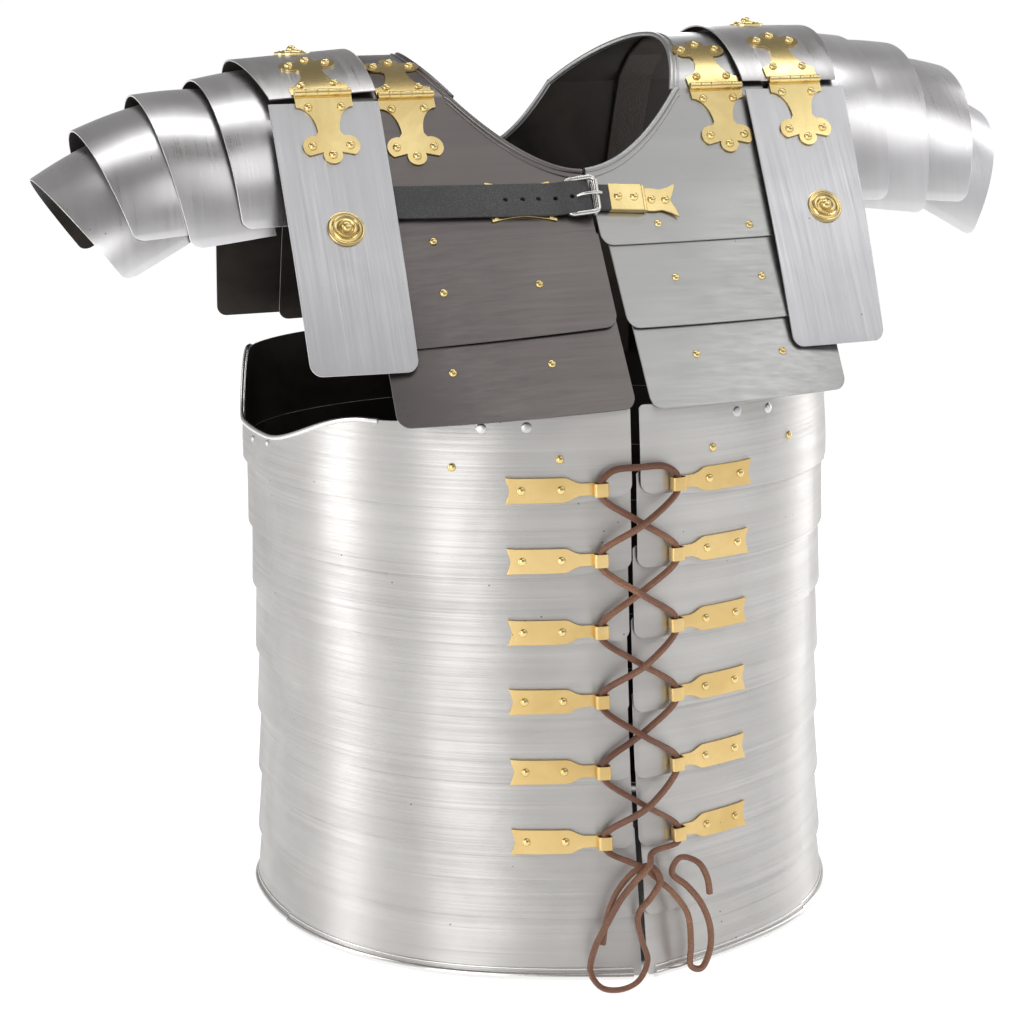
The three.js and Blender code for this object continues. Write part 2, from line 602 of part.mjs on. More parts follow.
function guardLeaf(side, front) {
  const path = (distance, offset, x) => {
    const slope = front ? BODY.frontSlope : BODY.backSlope;
    const along = distance < 0 ? -3 : distance + 1;   // its top reaches into the barrel
    const p = guardPoint(front, x, BODY.hingeZ - along / Math.hypot(1, slope), SHEET + offset);
    return [p[1], p[2]];
  };
  return joined(hingeLeaf(side, GUARD.hingeX, path), barrel(side, front, GUARD.hingeX, GUARD.lift));
}

// -------------------------------------------------------------- arm plates
/** Point of an arm plate: t runs from the back corner (-1) to the front (1). */
function armPoint(side, index, t, v, inward) {
  const k = side.sign < 0 ? 0 : 1, a = ARM[index];
  const s = Math.sin(t * Math.PI / 2), c = Math.cos(t * Math.PI / 2);
  const reach = s * (s < 0 ? ARM_BACK : 1);
  const on = (crestX, crestZ, cornerX, cornerY, cornerZ) =>
    [mix(cornerX, crestX, c), -cornerY * reach, mix(cornerZ, crestZ, c)];
  const tuck = on(a.tuckX, a.tuckZ[k], a.tuckCornerX, a.tuckCornerY, a.tuckCornerZ);
  const rim = on(a.rimX, a.rimZ[k], a.cornerX, a.cornerY, a.cornerZ);
  const p = tuck.map((value, axis) => mix(value, rim[axis], v));
  const fallen = (rim[2] - tuck[2]) / Math.hypot(rim[0] - tuck[0], rim[2] - tuck[2]);
  const ny = -s, nz = c * Math.sqrt(1 - fallen * fallen), nx = -c * fallen;
  const l = Math.hypot(nx, ny, nz);
  return [side.sign * (p[0] - inward * nx / l), p[1] - inward * ny / l, p[2] - inward * nz / l];
}

function armPlate(side, index) {
  const leg = 112 * Math.PI / 2;   // length of a leg from crest to corner
  const turns = roundedColumns(-1, 1, 10, CORNER / leg);
  // the rim's corners are rounded: near the ends the plate is narrower
  const reach = (t) => 1 - cornerInset(CORNER, (1 - Math.abs(t)) * leg) / 56;
  const point = (i, j, inward) => armPoint(side, index, turns[i], j * reach(turns[i]), inward);
  return plateGeometry(turns.length, 2, (i, j) => point(i, j, 0), (i, j) => point(i, j, SHEET));
}

// ------------------------------------------------- chest strap and buckle
const strapPoint = (x, z, lift) => {
  const sign = Math.sign(x);
  const p = bodyPoint(true, Math.abs(x), z, lift);
  return [sign * p[0], p[1], p[2]];
};

/** A flat strip laid across the chest through these places in x. */
function bandOnChest(xs, halfWidth, lift, thickness) {
  const height = (i, j) => STRAP.z + (j === 0 ? -1 : 1) * halfWidth(xs[i]);
  const point = (i, j, extra) => strapPoint(xs[i], height(i, j), lift(xs[i]) + extra);
  return plateGeometry(xs.length, 2, (i, j) => point(i, j, thickness), (i, j) => point(i, j, 0));
}

function buckle() {
  const slope = BODY.frontSlope;
  const up = new THREE.Vector3(0, slope, 1).normalize(), out = new THREE.Vector3(0, -1, slope).normalize();
  const right = new THREE.Vector3(1, 0, 0);
  const p = bodyPoint(true, 0, STRAP.z, plateLift(COLLAR.left.top, STRAP.z) + SHEET + 2 * GAP);
  const origin = new THREE.Vector3(0, p[1], p[2]);
  const { barX, height, reach, wire, plateFrom, plateTo, tailTo } = BUCKLE;
  const h = height / 2, w = wire;
  const frame = outlineSolid([[barX - reach, -h], [barX + w, -h], [barX + w, h], [barX - reach, h]], 0, 1.8,
    [[[barX - reach + w, -h + w], [barX, -h + w], [barX, h - w], [barX - reach + w, h - w]]]);
  const bar = block(barX, barX + w, -h, h, 0, 6.4);
  const leather = block(barX + w - 1, plateFrom + 4, -10, 10, 1.2, 4.2);
  const plate = block(plateFrom, plateTo, -10, 10, 0, 4.8);
  const knuckle = block(plateTo - 0.5, plateTo + 3, -9, 9, 0, 3.6);
  const tail = outlineSolid([
    [plateTo + 2, -9], [plateTo + 14, -8], [tailTo - 7, -9.5], [tailTo, -13], [tailTo - 4, 0],
    [tailTo, 13], [tailTo - 7, 9.5], [plateTo + 14, 8], [plateTo + 2, 9]], 0, 1.4);
  const tongue = block(barX - 6, barX + 1, -1.3, 1.3, 5.2, 6.4);
  return placed(joined(frame, bar, leather, plate, knuckle, tail, tongue), origin, right, up, out);
}

// -------------------------------------------------------------------- lace
/** Middle of a tie loop's eye, moved along its own directions. */
function eyeCentre(side, index, upward = 0) {
  const { origin, inward, up, out, eyeBack } = tieFrame(side, index);
  return origin.clone().addScaledVector(inward, (TIE.eyeFrom + TIE.length) / 2)
    .addScaledVector(out, eyeBack + TIE.eyeDepth / 2).addScaledVector(up, upward);
}

function laceRoute() {
  const [right, left] = SIDES;
  const rise = TIE.eyeHeight / 2 + LACE.above;
  const route = [];
  const through = (side, index, upward) => {
    const ends = [eyeCentre(side, index, -rise), eyeCentre(side, index), eyeCentre(side, index, rise)];
    for (const end of [ends[0], ends[2]]) end.x -= side.sign * LACE.turn;
    route.push(...(upward ? ends : ends.reverse()));
  };
  // a crossing lies in front of the slit; the second strand passes over the first
  const cross = (index, over) => {
    const a = eyeCentre(right, index), b = eyeCentre(left, index + 1);
    const c = a.add(b).multiplyScalar(0.5);
    const front = girthPoint(0, c.z, bandLean(index, c.z) + 2 * SHEET)[1];
    route.push(new THREE.Vector3(0, front - (over ? 10.5 : 3.6), c.z));
  };
  const knotZ = TIE.heights[5] - 15;
  const front = girthPoint(0, knotZ, GIRTH.lean + 2 * SHEET)[1];
  const v = (x, out, z) => new THREE.Vector3(x, front - out, z);
  // free end and bow on the wearer's right, up one strand, down the other
  route.push(v(-33, 9, 30), v(-30, 9, 48), v(-22, 8, 66), v(-8, 7, 79), v(3, 6, 80), v(8, 11, 72),
    v(1, 14, 62), v(-9, 14, 50), v(-7, 15, 32), v(-4, 18, 18), v(-12, 22, 6), v(-26, 24, 2.4),
    v(-38, 20, 4), v(-44, 15, 14), v(-40, 13, 30), v(-30, 13, 48),
    v(-22, 14, 62), v(-10, 12.5, 74), v(0, 12, 83), v(3, 8, 90));
  const up = [[left, 5], [right, 4], [left, 3], [right, 2], [left, 1], [right, 0]];
  const down = [[left, 0], [right, 1], [left, 2], [right, 3], [left, 4], [right, 5]];
  up.forEach(([side, index], i) => {
    through(side, index, true);
    if (i < up.length - 1) cross(index - 1, false);
  });
  const top = eyeCentre(right, 0, rise + 5);
  const topLeft = eyeCentre(left, 0, rise + 5);
  const between = top.clone().add(topLeft).multiplyScalar(0.5);
  route.push(top.clone().add(new THREE.Vector3(9, 0, 1)), between.add(new THREE.Vector3(0, -1, 2)),
    topLeft.clone().add(new THREE.Vector3(-9, 0, 1)));
  down.forEach(([side, index], i) => {
    through(side, index, false);
    if (i < down.length - 1) cross(index, true);
  });
  route.push(v(-8, 6, 83), v(0, 5, 78), v(8, 6, 70), v(18, 9, 60), v(28, 11, 44), v(30, 12, 22),
    v(30, 12, 6.5), v(38, 11, 3.4), v(45, 9, 14), v(46, 8, 30), v(40, 7.5, 48), v(30, 5.5, 62),
    v(19, 4.5, 73), v(24, 7, 84), v(36, 9, 80), v(43, 9, 68), v(45, 9, 56));
  return route;
}

function laceGeometry() {
  const route = laceRoute(), curve = new THREE.CatmullRomCurve3(route, false, 'centripetal');
  // the rings stand on the places of the route
  curve.getPointAt = (u, target) => curve.getPoint(u, target);
  curve.getTangentAt = (u, target) => curve.getTangent(u, target);
  const r = LACE.diameter / 2;
  const shape = new THREE.Shape(Array.from({ length: LACE.sides }, (_, i) => {
    const a = 2 * Math.PI * i / LACE.sides;
    return new THREE.Vector2(r * Math.cos(a), r * Math.sin(a));
  }));
  const options = { steps: route.length - 1, extrudePath: curve, bevelEnabled: false };
  return new THREE.ExtrudeGeometry(shape, options);
}

// ----------------------------------------------------------- inner leather
function innerLeather(side) {
  const x = LEATHER.x, half = LEATHER.width / 2, t = LEATHER.thickness, end = archEnd(side);
  // each station of the strap gives its (y, z) for a place in x and a depth
  const path = [];
  const onGirth = (front, z) => path.push((at, depth) => {
    const power = front ? GIRTH.frontPower : GIRTH.backPower;
    const reach = front ? GIRTH.frontDepth : GIRTH.backDepth;
    const y = reach * (1 - (at / GIRTH.halfWidth) ** power) ** (1 / power) - 2.5 - depth;
    return [front ? -y : y, z];
  });
  const onBody = (front, z) => path.push((at, depth) => bodyPoint(front, at, z, -0.5 - depth).slice(1));
  const onArch = (degrees) => path.push((at, depth) => archPoint(side, at, degrees, -0.5 - depth).slice(1));
  for (const z of [LEATHER.lowZ, 388]) onGirth(true, z);
  for (const z of [418, 470, 520, 570]) onBody(true, z);
  for (let i = 0; i <= 6; i++) onArch(mix(-end + 4, end - 4, i / 6));
  for (const z of [560, 500, 425]) onBody(false, z);
  for (const z of [398, LEATHER.backLowZ]) onGirth(false, z);
  const point = (i, j, depth) => {
    const at = x + (j === 0 ? -half : half), [y, z] = path[i](at, depth);
    return [side.sign * at, y, z];
  };
  const long = plateGeometry(path.length, 2, (i, j) => point(i, j, 0), (i, j) => point(i, j, t));

  // cross strap at the crest, under the guard and the arm plates
  const underside = (at) => {
    let z = archPoint(side, at, 0, at < 158 ? 0 : guardLift(side, at))[2];
    for (let k = 0; k < ARM.length; k++) {
      const a = ARM[k], row = side.sign < 0 ? 0 : 1;
      if (at < a.tuckX - 3 || at > a.rimX + 1) continue;
      z = Math.min(z, mix(a.tuckZ[row], a.rimZ[row], (at - a.tuckX) / (a.rimX - a.tuckX)) - SHEET * 1.25);
    }
    return z - 1.3;
  };
  const xs = [x - 4, 140, 156, 176, ...ARM.flatMap((a) => [a.tuckX - 3, a.tuckX + 20]), 345];
  xs.sort((a, b) => a - b);
  const across = (i, j, depth) =>
    [side.sign * xs[i], j === 0 ? -half : half, underside(xs[i]) - sagAt(side, half) - depth];
  const cross = plateGeometry(xs.length, 2, (i, j) => across(i, j, 0), (i, j) => across(i, j, t));
  return joined(long, cross);
}
/** How far the arch drops at this distance from its crest. */
const sagAt = (side, y) => {
  const sag = side.crest - SHEET - BODY.hingeZ, radius = (BODY.hingeY ** 2 + sag ** 2) / (2 * sag);
  return radius - Math.sqrt(radius ** 2 - y * y) + 0.3;
};

// ---------------------------------------------------------------- assembly
BANDS.forEach((band, index) => addMesh(`girth_band_${index + 1}`, girthBand(index), steel));

for (const side of SIDES) {
  const n = side.name, plates = COLLAR[n];
  addMesh(`breast_top_${n}`, bodyPlate(side, true, plates.top, 9, 3), steel);
  addMesh(`breast_mid_${n}`, bodyPlate(side, true, plates.mid, 6, 2), steel);
  addMesh(`breast_low_${n}`, bodyPlate(side, true, plates.low, 6, 2), steel);
  addMesh(`shoulder_${n}`, shoulderPlate(side), steel);
  addMesh(`back_top_${n}`, bodyPlate(side, false, BACK.top, 9, 3), steel);
  addMesh(`back_low_${n}`, bodyPlate(side, false, BACK.low, 6, 2), steel);

  for (const front of [true, false]) {
    const where = front ? 'front' : 'back';
    addMesh(`collar_hinge_${where}_${n}`, joined(
      hingeLeaf(side, HINGE.x, upPath(side, front, 0)),
      hingeLeaf(side, HINGE.x, downPath(front, front ? plates.top : BACK.top)),
      barrel(side, front, HINGE.x, 0)), brass);
    addMesh(`guard_${where}_${n}`, guardLong(side, front), steel);
    addMesh(`guard_hinge_${where}_${n}`, guardLeaf(side, front), brass);
  }
  addMesh(`guard_middle_${n}`, guardMiddle(side), steel);
  ARM.forEach((_, index) => addMesh(`lesser_guard_${n}_${index + 1}`, armPlate(side, index), steel));
  TIE.heights.forEach((_, index) => addMesh(`tie_loop_${n}_${index + 1}`, tieLoop(side, index), brass));
  addMesh(`inner_leather_${n}`, innerLeather(side), brownLeather);
}

addMesh('chest_strap', bandOnChest([-STRAP.from, -110, -80, -50, -26, -15, STRAP.to], () => STRAP.width / 2,
  (x) => SHEET + mix(STRAP.lift, STRAP.overBar, clamp((x + 26) / 11, 0, 1)), STRAP.thickness), blackLeather);
const fittingHalf = (x) => 12 - 2.5 * Math.sin(Math.PI * (x + 71) / 43);
addMesh('strap_fitting', bandOnChest([-71, -60, -47, -36, -28], fittingHalf,
  () => SHEET + GAP, 1.2), brass);
addMesh('buckle', buckle(), nickel);
addMesh('lace', laceGeometry(), brownLeather);

export default cuirass;
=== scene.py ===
"""Segmented plate cuirass: laced girth bands, a hinged collar and shoulder guards.

Sizes are in millimetres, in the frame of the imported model: +Z up, the wearer
faces -Y, the wearer's right is -X, and the origin is the middle of the bottom
rim. Meshes are made in metres.
"""

import logging
import math
from dataclasses import dataclass, field
from enum import Enum
from functools import lru_cache
from typing import Callable, Iterable, Sequence

import bpy
from mathutils import Matrix, Vector

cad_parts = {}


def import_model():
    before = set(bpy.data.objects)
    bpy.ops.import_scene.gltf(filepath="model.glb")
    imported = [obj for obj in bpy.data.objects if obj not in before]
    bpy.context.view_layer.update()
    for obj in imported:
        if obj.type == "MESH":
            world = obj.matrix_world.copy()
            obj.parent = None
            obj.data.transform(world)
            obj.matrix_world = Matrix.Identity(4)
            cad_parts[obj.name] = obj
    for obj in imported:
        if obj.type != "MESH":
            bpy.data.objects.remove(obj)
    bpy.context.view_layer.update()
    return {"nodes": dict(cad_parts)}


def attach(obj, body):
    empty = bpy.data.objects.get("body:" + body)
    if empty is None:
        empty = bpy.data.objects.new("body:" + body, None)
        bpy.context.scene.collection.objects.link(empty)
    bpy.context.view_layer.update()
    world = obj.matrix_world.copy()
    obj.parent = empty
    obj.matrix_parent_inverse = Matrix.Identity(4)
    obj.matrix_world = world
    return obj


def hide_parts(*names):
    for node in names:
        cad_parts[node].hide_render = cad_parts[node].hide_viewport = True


LOG = logging.getLogger("cuirass")

MM = 0.001  # metres in a millimetre
SHEET = 1.2  # steel of every plate
GAP = 0.35  # clearance between neighbouring pieces
CORNER = 8.0  # rounding of the plates' free corners
SOFT = 0.25  # softened edges of the brass
GUARD_SOFT = 0.35  # and those of the guards and the arm plates
RIM_MIDDLE = -38.3  # place of the origin in the depth of the plans below
MAIN_BODY = "cuirass"

FAR = 999.0  # beyond the reach of any corner or slope
CREASE = math.radians(50)  # edges sharper than this stay edges
TURNED_CREASE = math.radians(40)
FLATNESS = 100  # weight of the large faces in the shading

Point = tuple[float, float, float]
Flat = tuple[float, float]
Span = tuple[float, float]  # the two ends of a range
Colour = tuple[float, float, float]
Place = Callable[[float, float, float], Point]  # (column, row, offset) to a point
Piece = bpy.types.Object
Material = bpy.types.Material
Tree = bpy.types.NodeTree
Node = bpy.types.Node
Socket = bpy.types.NodeSocket


class Side(Enum):
    """Side of the wearer, by the sign of X."""

    RIGHT = -1
    LEFT = 1

    @property
    def word(self) -> str:
        """The side's name in the names of nodes and bodies."""
        return self.name.lower()


class Face(Enum):
    """Front or back of the wearer, by the sign of Y."""

    FRONT = -1
    BACK = 1

    @property
    def word(self) -> str:
        """The face's name in the names of nodes and bodies."""
        return self.name.lower()


class Brushing(Enum):
    """Way the steel was brushed: how fast its grain changes along X, Y and Z."""

    AROUND = (5.0, 5.0, 900.0)
    ACROSS = (6.0, 500.0, 500.0)
    DOWN = (900.0, 9.0, 9.0)


# --------------------------------------------------------------- small helpers
def mix(a: float, b: float, t: float) -> float:
    """Value between a and b at share t."""
    return a + (b - a) * t


def clamp(value: float, low: float, high: float) -> float:
    """Value held between low and high."""
    return min(high, max(low, value))


def smooth(start: float, end: float, value: float) -> float:
    """Share from 0 to 1 that starts and ends gently."""
    t = clamp((value - start) / (end - start), 0.0, 1.0)
    return t * t * (3 - 2 * t)


def spread(start: float, end: float, count: int) -> list[float]:
    """Evenly spaced values from start to end, both included."""
    return [mix(start, end, i / (count - 1)) for i in range(count)]


def corner_inset(radius: float, distance: float) -> float:
    """Height lost by a rounded corner at a distance from the plate's end."""
    if distance >= radius:
        return 0.0
    return radius - math.sqrt(radius**2 - (radius - max(distance, 0.0)) ** 2)


def rounded_columns(start: float, end: float, count: int, radius: float) -> list[float]:
    """Positions from start to end, closer together at both rounded ends.

    Args:
        start: First position.
        end: Last position.
        count: Number of even steps between the corners.
        radius: Corner radius, in the same unit as the positions.

    Returns:
        The positions, in order.
    """
    turns = [radius * (1 - math.cos(math.radians(a))) for a in (0, 18, 36, 54, 72, 90)]
    sign = 1 if end > start else -1
    first = [start + sign * d for d in turns]
    last = [end - sign * d for d in reversed(turns)]
    return first + spread(first[-1], last[0], count + 1)[1:-1] + last


def arc(centre: Flat, radius: float, start: float, end: float, count: int) -> list[Flat]:
    """Points of an arc, from one angle in degrees to another."""
    turns = [math.radians(a) for a in spread(start, end, count)]
    return [(centre[0] + radius * math.cos(a), centre[1] + radius * math.sin(a)) for a in turns]


def in_frame(point: Point) -> Vector:
    """A point of the plans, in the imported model's frame and in metres."""
    return Vector((point[0], point[1] - RIM_MIDDLE, point[2])) * MM


def surface_normal(place: Place, column: float, row: float, step: float = 0.4) -> Vector:
    """Outward direction of a surface at one of its places."""
    across = Vector(place(column + step, row, 0.0)) - Vector(place(column - step, row, 0.0))
    along = Vector(place(column, row + step, 0.0)) - Vector(place(column, row - step, 0.0))
    normal = across.cross(along).normalized()
    outward = Vector(place(column, row, 1.0)) - Vector(place(column, row, 0.0))
    return normal if normal.dot(outward) > 0 else -normal


# ---------------------------------------------------------------- bench work
def clear_selection() -> None:
    """Leaves object mode on and nothing selected."""
    if bpy.context.object and bpy.context.object.mode != "OBJECT":
        bpy.ops.object.mode_set(mode="OBJECT")
    bpy.ops.object.select_all(action="DESELECT")


def take_up(piece: Piece) -> None:
    """Makes one piece the active and only selected object."""
    clear_selection()
    piece.select_set(True)
    bpy.context.view_layer.objects.active = piece


def apply_modifiers(piece: Piece) -> None:
    """Applies every modifier of a piece, in order."""
    take_up(piece)
    for modifier in list(piece.modifiers):
        bpy.ops.object.modifier_apply(modifier=modifier.name)


def named(piece: Piece, name: str) -> Piece:
    """Gives a piece and its mesh their name."""
    piece.name = name
    piece.data.name = name
    return piece


def lay_on(piece: Piece, place: Place, offset: float) -> None:
    """Moves a flat sheet's vertices onto a surface, facing outward.

    Args:
        piece: Sheet whose vertices hold (column, row) in X and Y.
        place: Surface that the sheet is laid on.
        offset: Height of the sheet over that surface.
    """
    mesh = piece.data
    flat = [(v.co.x, v.co.y) for v in mesh.vertices]
    middle = mesh.polygons[len(mesh.polygons) // 2]
    column = sum(flat[i][0] for i in middle.vertices) / len(middle.vertices)
    row = sum(flat[i][1] for i in middle.vertices) / len(middle.vertices)
    for vertex, (u, v) in zip(mesh.vertices, flat):
        vertex.co = in_frame(place(u, v, offset))
    mesh.update()
    outward = Vector(place(column, row, offset + 1.0)) - Vector(place(column, row, offset))
    if middle.normal.dot(outward) < 0:
        mesh.flip_normals()


def weld(piece: Piece, reach: float) -> None:
    """Merges vertices within a reach in millimetres and faces the piece outward."""
    take_up(piece)
    bpy.ops.object.mode_set(mode="EDIT")
    bpy.ops.mesh.select_all(action="SELECT")
    bpy.ops.mesh.remove_doubles(threshold=reach * MM)
    bpy.ops.mesh.normals_make_consistent(inside=False)
    bpy.ops.object.mode_set(mode="OBJECT")


def grid_sheet(name: str, columns: Sequence[float], rows: Callable[[float], Sequence[float]]) -> Piece:
    """A flat sheet of quads in (column, row).

    Args:
        name: Name of the piece.
        columns: Places of the columns.
        rows: Gives the rows' places at a column.

    Returns:
        The sheet, still flat.
    """
    clear_selection()
    heights = [rows(column) for column in columns]
    count = len(heights[0])
    bpy.ops.mesh.primitive_grid_add(x_subdivisions=len(columns) - 1, y_subdivisions=count - 1, size=1)
    piece = named(bpy.context.object, name)
    places = [c for j in range(count) for i, u in enumerate(columns) for c in (u, heights[i][j], 0.0)]
    piece.data.vertices.foreach_set("co", places)
    return piece


def outline_sheet(
    name: str, outline: Sequence[Flat], cuts_u: Iterable[float] = (), cuts_v: Iterable[float] = (),
) -> Piece:
    """A flat sheet with a drawn outline, cut across so that it can be bent.

    Args:
        name: Name of the piece.
        outline: Its corners, anticlockwise.
        cuts_u: Places of the cuts across u.
        cuts_v: Places of the cuts across v.

    Returns:
        The sheet, still flat.
    """
    clear_selection()
    bpy.ops.mesh.primitive_circle_add(vertices=len(outline), radius=1, fill_type="NGON")
    piece = named(bpy.context.object, name)
    piece.data.vertices.foreach_set("co", [c for u, v in outline for c in (u, v, 0.0)])
    bpy.ops.object.mode_set(mode="EDIT")
    for cut in cuts_u:
        bpy.ops.mesh.select_all(action="SELECT")
        bpy.ops.mesh.bisect(plane_co=(cut, 0, 0), plane_no=(1, 0, 0))
    for cut in cuts_v:
        bpy.ops.mesh.select_all(action="SELECT")
        bpy.ops.mesh.bisect(plane_co=(0, cut, 0), plane_no=(0, 1, 0))
    bpy.ops.object.mode_set(mode="OBJECT")
    return piece


def raise_wall(
    piece: Piece, materials: Sequence[Material], thickness: float = SHEET, edge: float = 0.3,
) -> Piece:
    """Gives a sheet its wall, inward, and its softened edges.

    Args:
        piece: The sheet, in place.
        materials: Finish of the outer face, and of the inner one if it differs.
        thickness: Wall of the sheet.
        edge: Width of the softened edge.

    Returns:
        The same piece.
    """
    for material in materials:
        piece.data.materials.append(material)
    take_up(piece)
    bpy.ops.object.shade_smooth()
    wall = piece.modifiers.new("wall", "SOLIDIFY")
    wall.thickness = thickness * MM
    wall.offset = -1
    wall.use_even_offset = True
    wall.material_offset = len(materials) - 1
    wall.material_offset_rim = 0
    soften(piece, edge)
    return piece


def soften(piece: Piece, edge: float) -> None:
    """Bevels a piece's edges and keeps its faces shaded flat between them."""
    bevel = piece.modifiers.new("edge", "BEVEL")
    bevel.width = edge * MM
    bevel.segments = 2
    bevel.limit_method = "ANGLE"
    bevel.angle_limit = CREASE
    shade = piece.modifiers.new("shade", "WEIGHTED_NORMAL")
    shade.weight = FLATNESS
    apply_modifiers(piece)


def join(name: str, pieces: Sequence[Piece]) -> Piece:
    """Joins pieces that are fixed to each other into one."""
    clear_selection()
    for piece in pieces:
        piece.select_set(True)
    bpy.context.view_layer.objects.active = pieces[0]
    if len(pieces) > 1:
        bpy.ops.object.join()
    return named(bpy.context.view_layer.objects.active, name)


def directions(path: Sequence[Vector], closed: bool) -> list[Vector]:
    """Direction of a path at each of its points, along its two neighbours."""
    steps = [path[(i + 1) % len(path)] - path[i - 1] for i in range(len(path))]
    if not closed:
        steps[0], steps[-1] = path[1] - path[0], path[-1] - path[-2]
    return [step.normalized() for step in steps]


def sweep(
    name: str, path: Sequence[Vector], section: Sequence[Flat], material: Material,
    closed: bool = False, twist: float = 0.0,
) -> Piece:
    """A solid bar of one section along a path.

    Args:
        name: Name of the piece.
        path: Points of the path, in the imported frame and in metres.
        section: Points round the section, in millimetres.
        material: Its finish.
        closed: Whether the path returns to its start.
        twist: Turn of the section over the whole path, in degrees.

    Returns:
        The bar.
    """
    count, sides = len(path), len(section)
    tangents = directions(path, closed)
    side = tangents[0].orthogonal().normalized()
    vertices: list[Vector] = []
    for i, tangent in enumerate(tangents):
        if i:
            side = tangents[i - 1].rotation_difference(tangent) @ side
        side = (side - tangent * side.dot(tangent)).normalized()
        turned = Matrix.Rotation(math.radians(twist * i / count), 3, tangent) @ side
        other = tangent.cross(turned)
        vertices += [path[i] + (turned * u + other * v) * MM for u, v in section]
    faces = []
    for i in range(count if closed else count - 1):
        here, there = i * sides, (i + 1) % count * sides
        for j, k in zip(range(sides), [*range(1, sides), 0]):
            faces.append((here + j, here + k, there + k, there + j))
    if not closed:
        faces += [tuple(reversed(range(sides))), tuple((count - 1) * sides + j for j in range(sides))]
    mesh = bpy.data.meshes.new(name)
    mesh.from_pydata(vertices, [], faces)
    mesh.materials.append(material)
    piece = bpy.data.objects.new(name, mesh)
    bpy.context.scene.collection.objects.link(piece)
    take_up(piece)
    bpy.ops.object.shade_smooth_by_angle(angle=CREASE)
    return piece


def round_section(radius: float, sides: int = 12) -> list[Flat]:
    """Section of a round wire."""
    return arc((0, 0), radius, 0, 360 - 360 / sides, sides)


def stand_at(piece: Piece, point: Point, u: Vector, v: Vector, n: Vector) -> Piece:
    """Puts a piece drawn in metres on axes (u, v, n) at a place of the plans."""
    turn = Matrix((u, v, n)).transposed().to_4x4()
    piece.data.transform(Matrix.Translation(in_frame(point)) @ turn)
    piece.data.update()
    return piece


def axes_from(normal: Vector) -> tuple[Vector, Vector, Vector]:
    """Two directions in a surface and its normal."""
    across = Vector((0, 0, 1)).cross(normal)
    if across.length < 0.01:  # the normal points straight up
        across = Vector((1, 0, 0))
    across.normalize()
    return across, normal.cross(across), normal


def block(name: str, low: Point, high: Point, material: Material, edge: float) -> Piece:
    """A bar with softened edges between two corners, in its own axes."""
    clear_selection()
    middle = [(a + b) / 2 * MM for a, b in zip(low, high)]
    size = [(b - a) * MM for a, b in zip(low, high)]
    bpy.ops.mesh.primitive_cube_add(size=1, location=middle, scale=size)
    piece = named(bpy.context.object, name)
    bpy.ops.object.transform_apply(location=True, rotation=True, scale=True)
    piece.data.materials.append(material)
    take_up(piece)
    bpy.ops.object.shade_smooth()
    soften(piece, edge)
    return piece


def finish_piece(piece: Piece, body: str, nodes: Sequence[str] = ()) -> Piece:
    """Says which body a piece rides on, and what it stands for."""
    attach(piece, body)
    if nodes:
        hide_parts(*nodes)
    LOG.info("%s: %d faces on %s", piece.name, len(piece.data.polygons), body)
    return piece


# ------------------------------------------------------------------- finishes
Sockets = dict[str | int, object]


def add_node(tree: Tree, kind: str, inputs: Sockets | None = None, **settings: object) -> Node:
    """Adds a node, with its settings and the values or links of its inputs.

    Args:
        tree: Tree that the node is added to.
        kind: Type of the node.
        inputs: Values or output sockets, by the name or number of the input.
        settings: Attributes of the node.

    Returns:
        The node.
    """
    node = tree.nodes.new(kind)
    for name, value in settings.items():
        setattr(node, name, value)
    for key, value in (inputs or {}).items():
        if isinstance(value, Socket):
            tree.links.new(value, node.inputs[key])
        else:
            node.inputs[key].default_value = value
    return node


def noise(tree: Tree, where: Socket, scale: float, detail: float, **more: float) -> Node:
    """Cloudy noise over coordinates, with more of its inputs by name."""
    inputs: Sockets = {"Vector": where, "Scale": scale, "Detail": detail, **more}
    return add_node(tree, "ShaderNodeTexNoise", inputs)


def cells(tree: Tree, where: Socket, scale: float, feature: str = "F1") -> Socket:
    """Distance in a pattern of cells, to their middles or to their edges."""
    inputs: Sockets = {"Vector": where, "Scale": scale}
    return add_node(tree, "ShaderNodeTexVoronoi", inputs, feature=feature).outputs["Distance"]


def sum_of(tree: Tree, operation: str, *values: object, clamped: bool = False) -> Socket:
    """Result of a sum over numbers or outputs."""
    inputs: Sockets = dict(enumerate(values))
    return add_node(tree, "ShaderNodeMath", inputs, operation=operation, use_clamp=clamped).outputs[0]


def ramp(tree: Tree, value: Socket, start: Span, result: Span = (0.0, 1.0)) -> Socket:
    """A value moved from one range to another, and held at both its ends."""
    names = ("From Min", "From Max", "To Min", "To Max")
    inputs: Sockets = {"Value": value, **dict(zip(names, (*start, *result)))}
    return add_node(tree, "ShaderNodeMapRange", inputs).outputs[0]


def scaled(colour: Colour, share: float) -> Colour:
    """A colour darkened or lightened, with no part above 1."""
    return tuple(min(1.0, share * part) for part in colour)


def new_group(name: str, number: str, value: float, outputs: Sequence[str]) -> tuple[Tree, Node, Node]:
    """An empty shader group over coordinates, and its two end nodes.

    Args:
        name: Name of the group.
        number: Name of its one number, beside the coordinates.
        value: The number's usual value.
        outputs: Names of its outputs, all numbers.

    Returns:
        The group, its input node and its output node.
    """
    group = bpy.data.node_groups.new(name, "ShaderNodeTree")
    group.interface.new_socket(name="Vector", in_out="INPUT", socket_type="NodeSocketVector")
    socket = group.interface.new_socket(name=number, in_out="INPUT", socket_type="NodeSocketFloat")
    socket.default_value = value
    for label in outputs:
        group.interface.new_socket(name=label, in_out="OUTPUT", socket_type="NodeSocketFloat")
    return group, group.nodes.new("NodeGroupInput"), group.nodes.new("NodeGroupOutput")


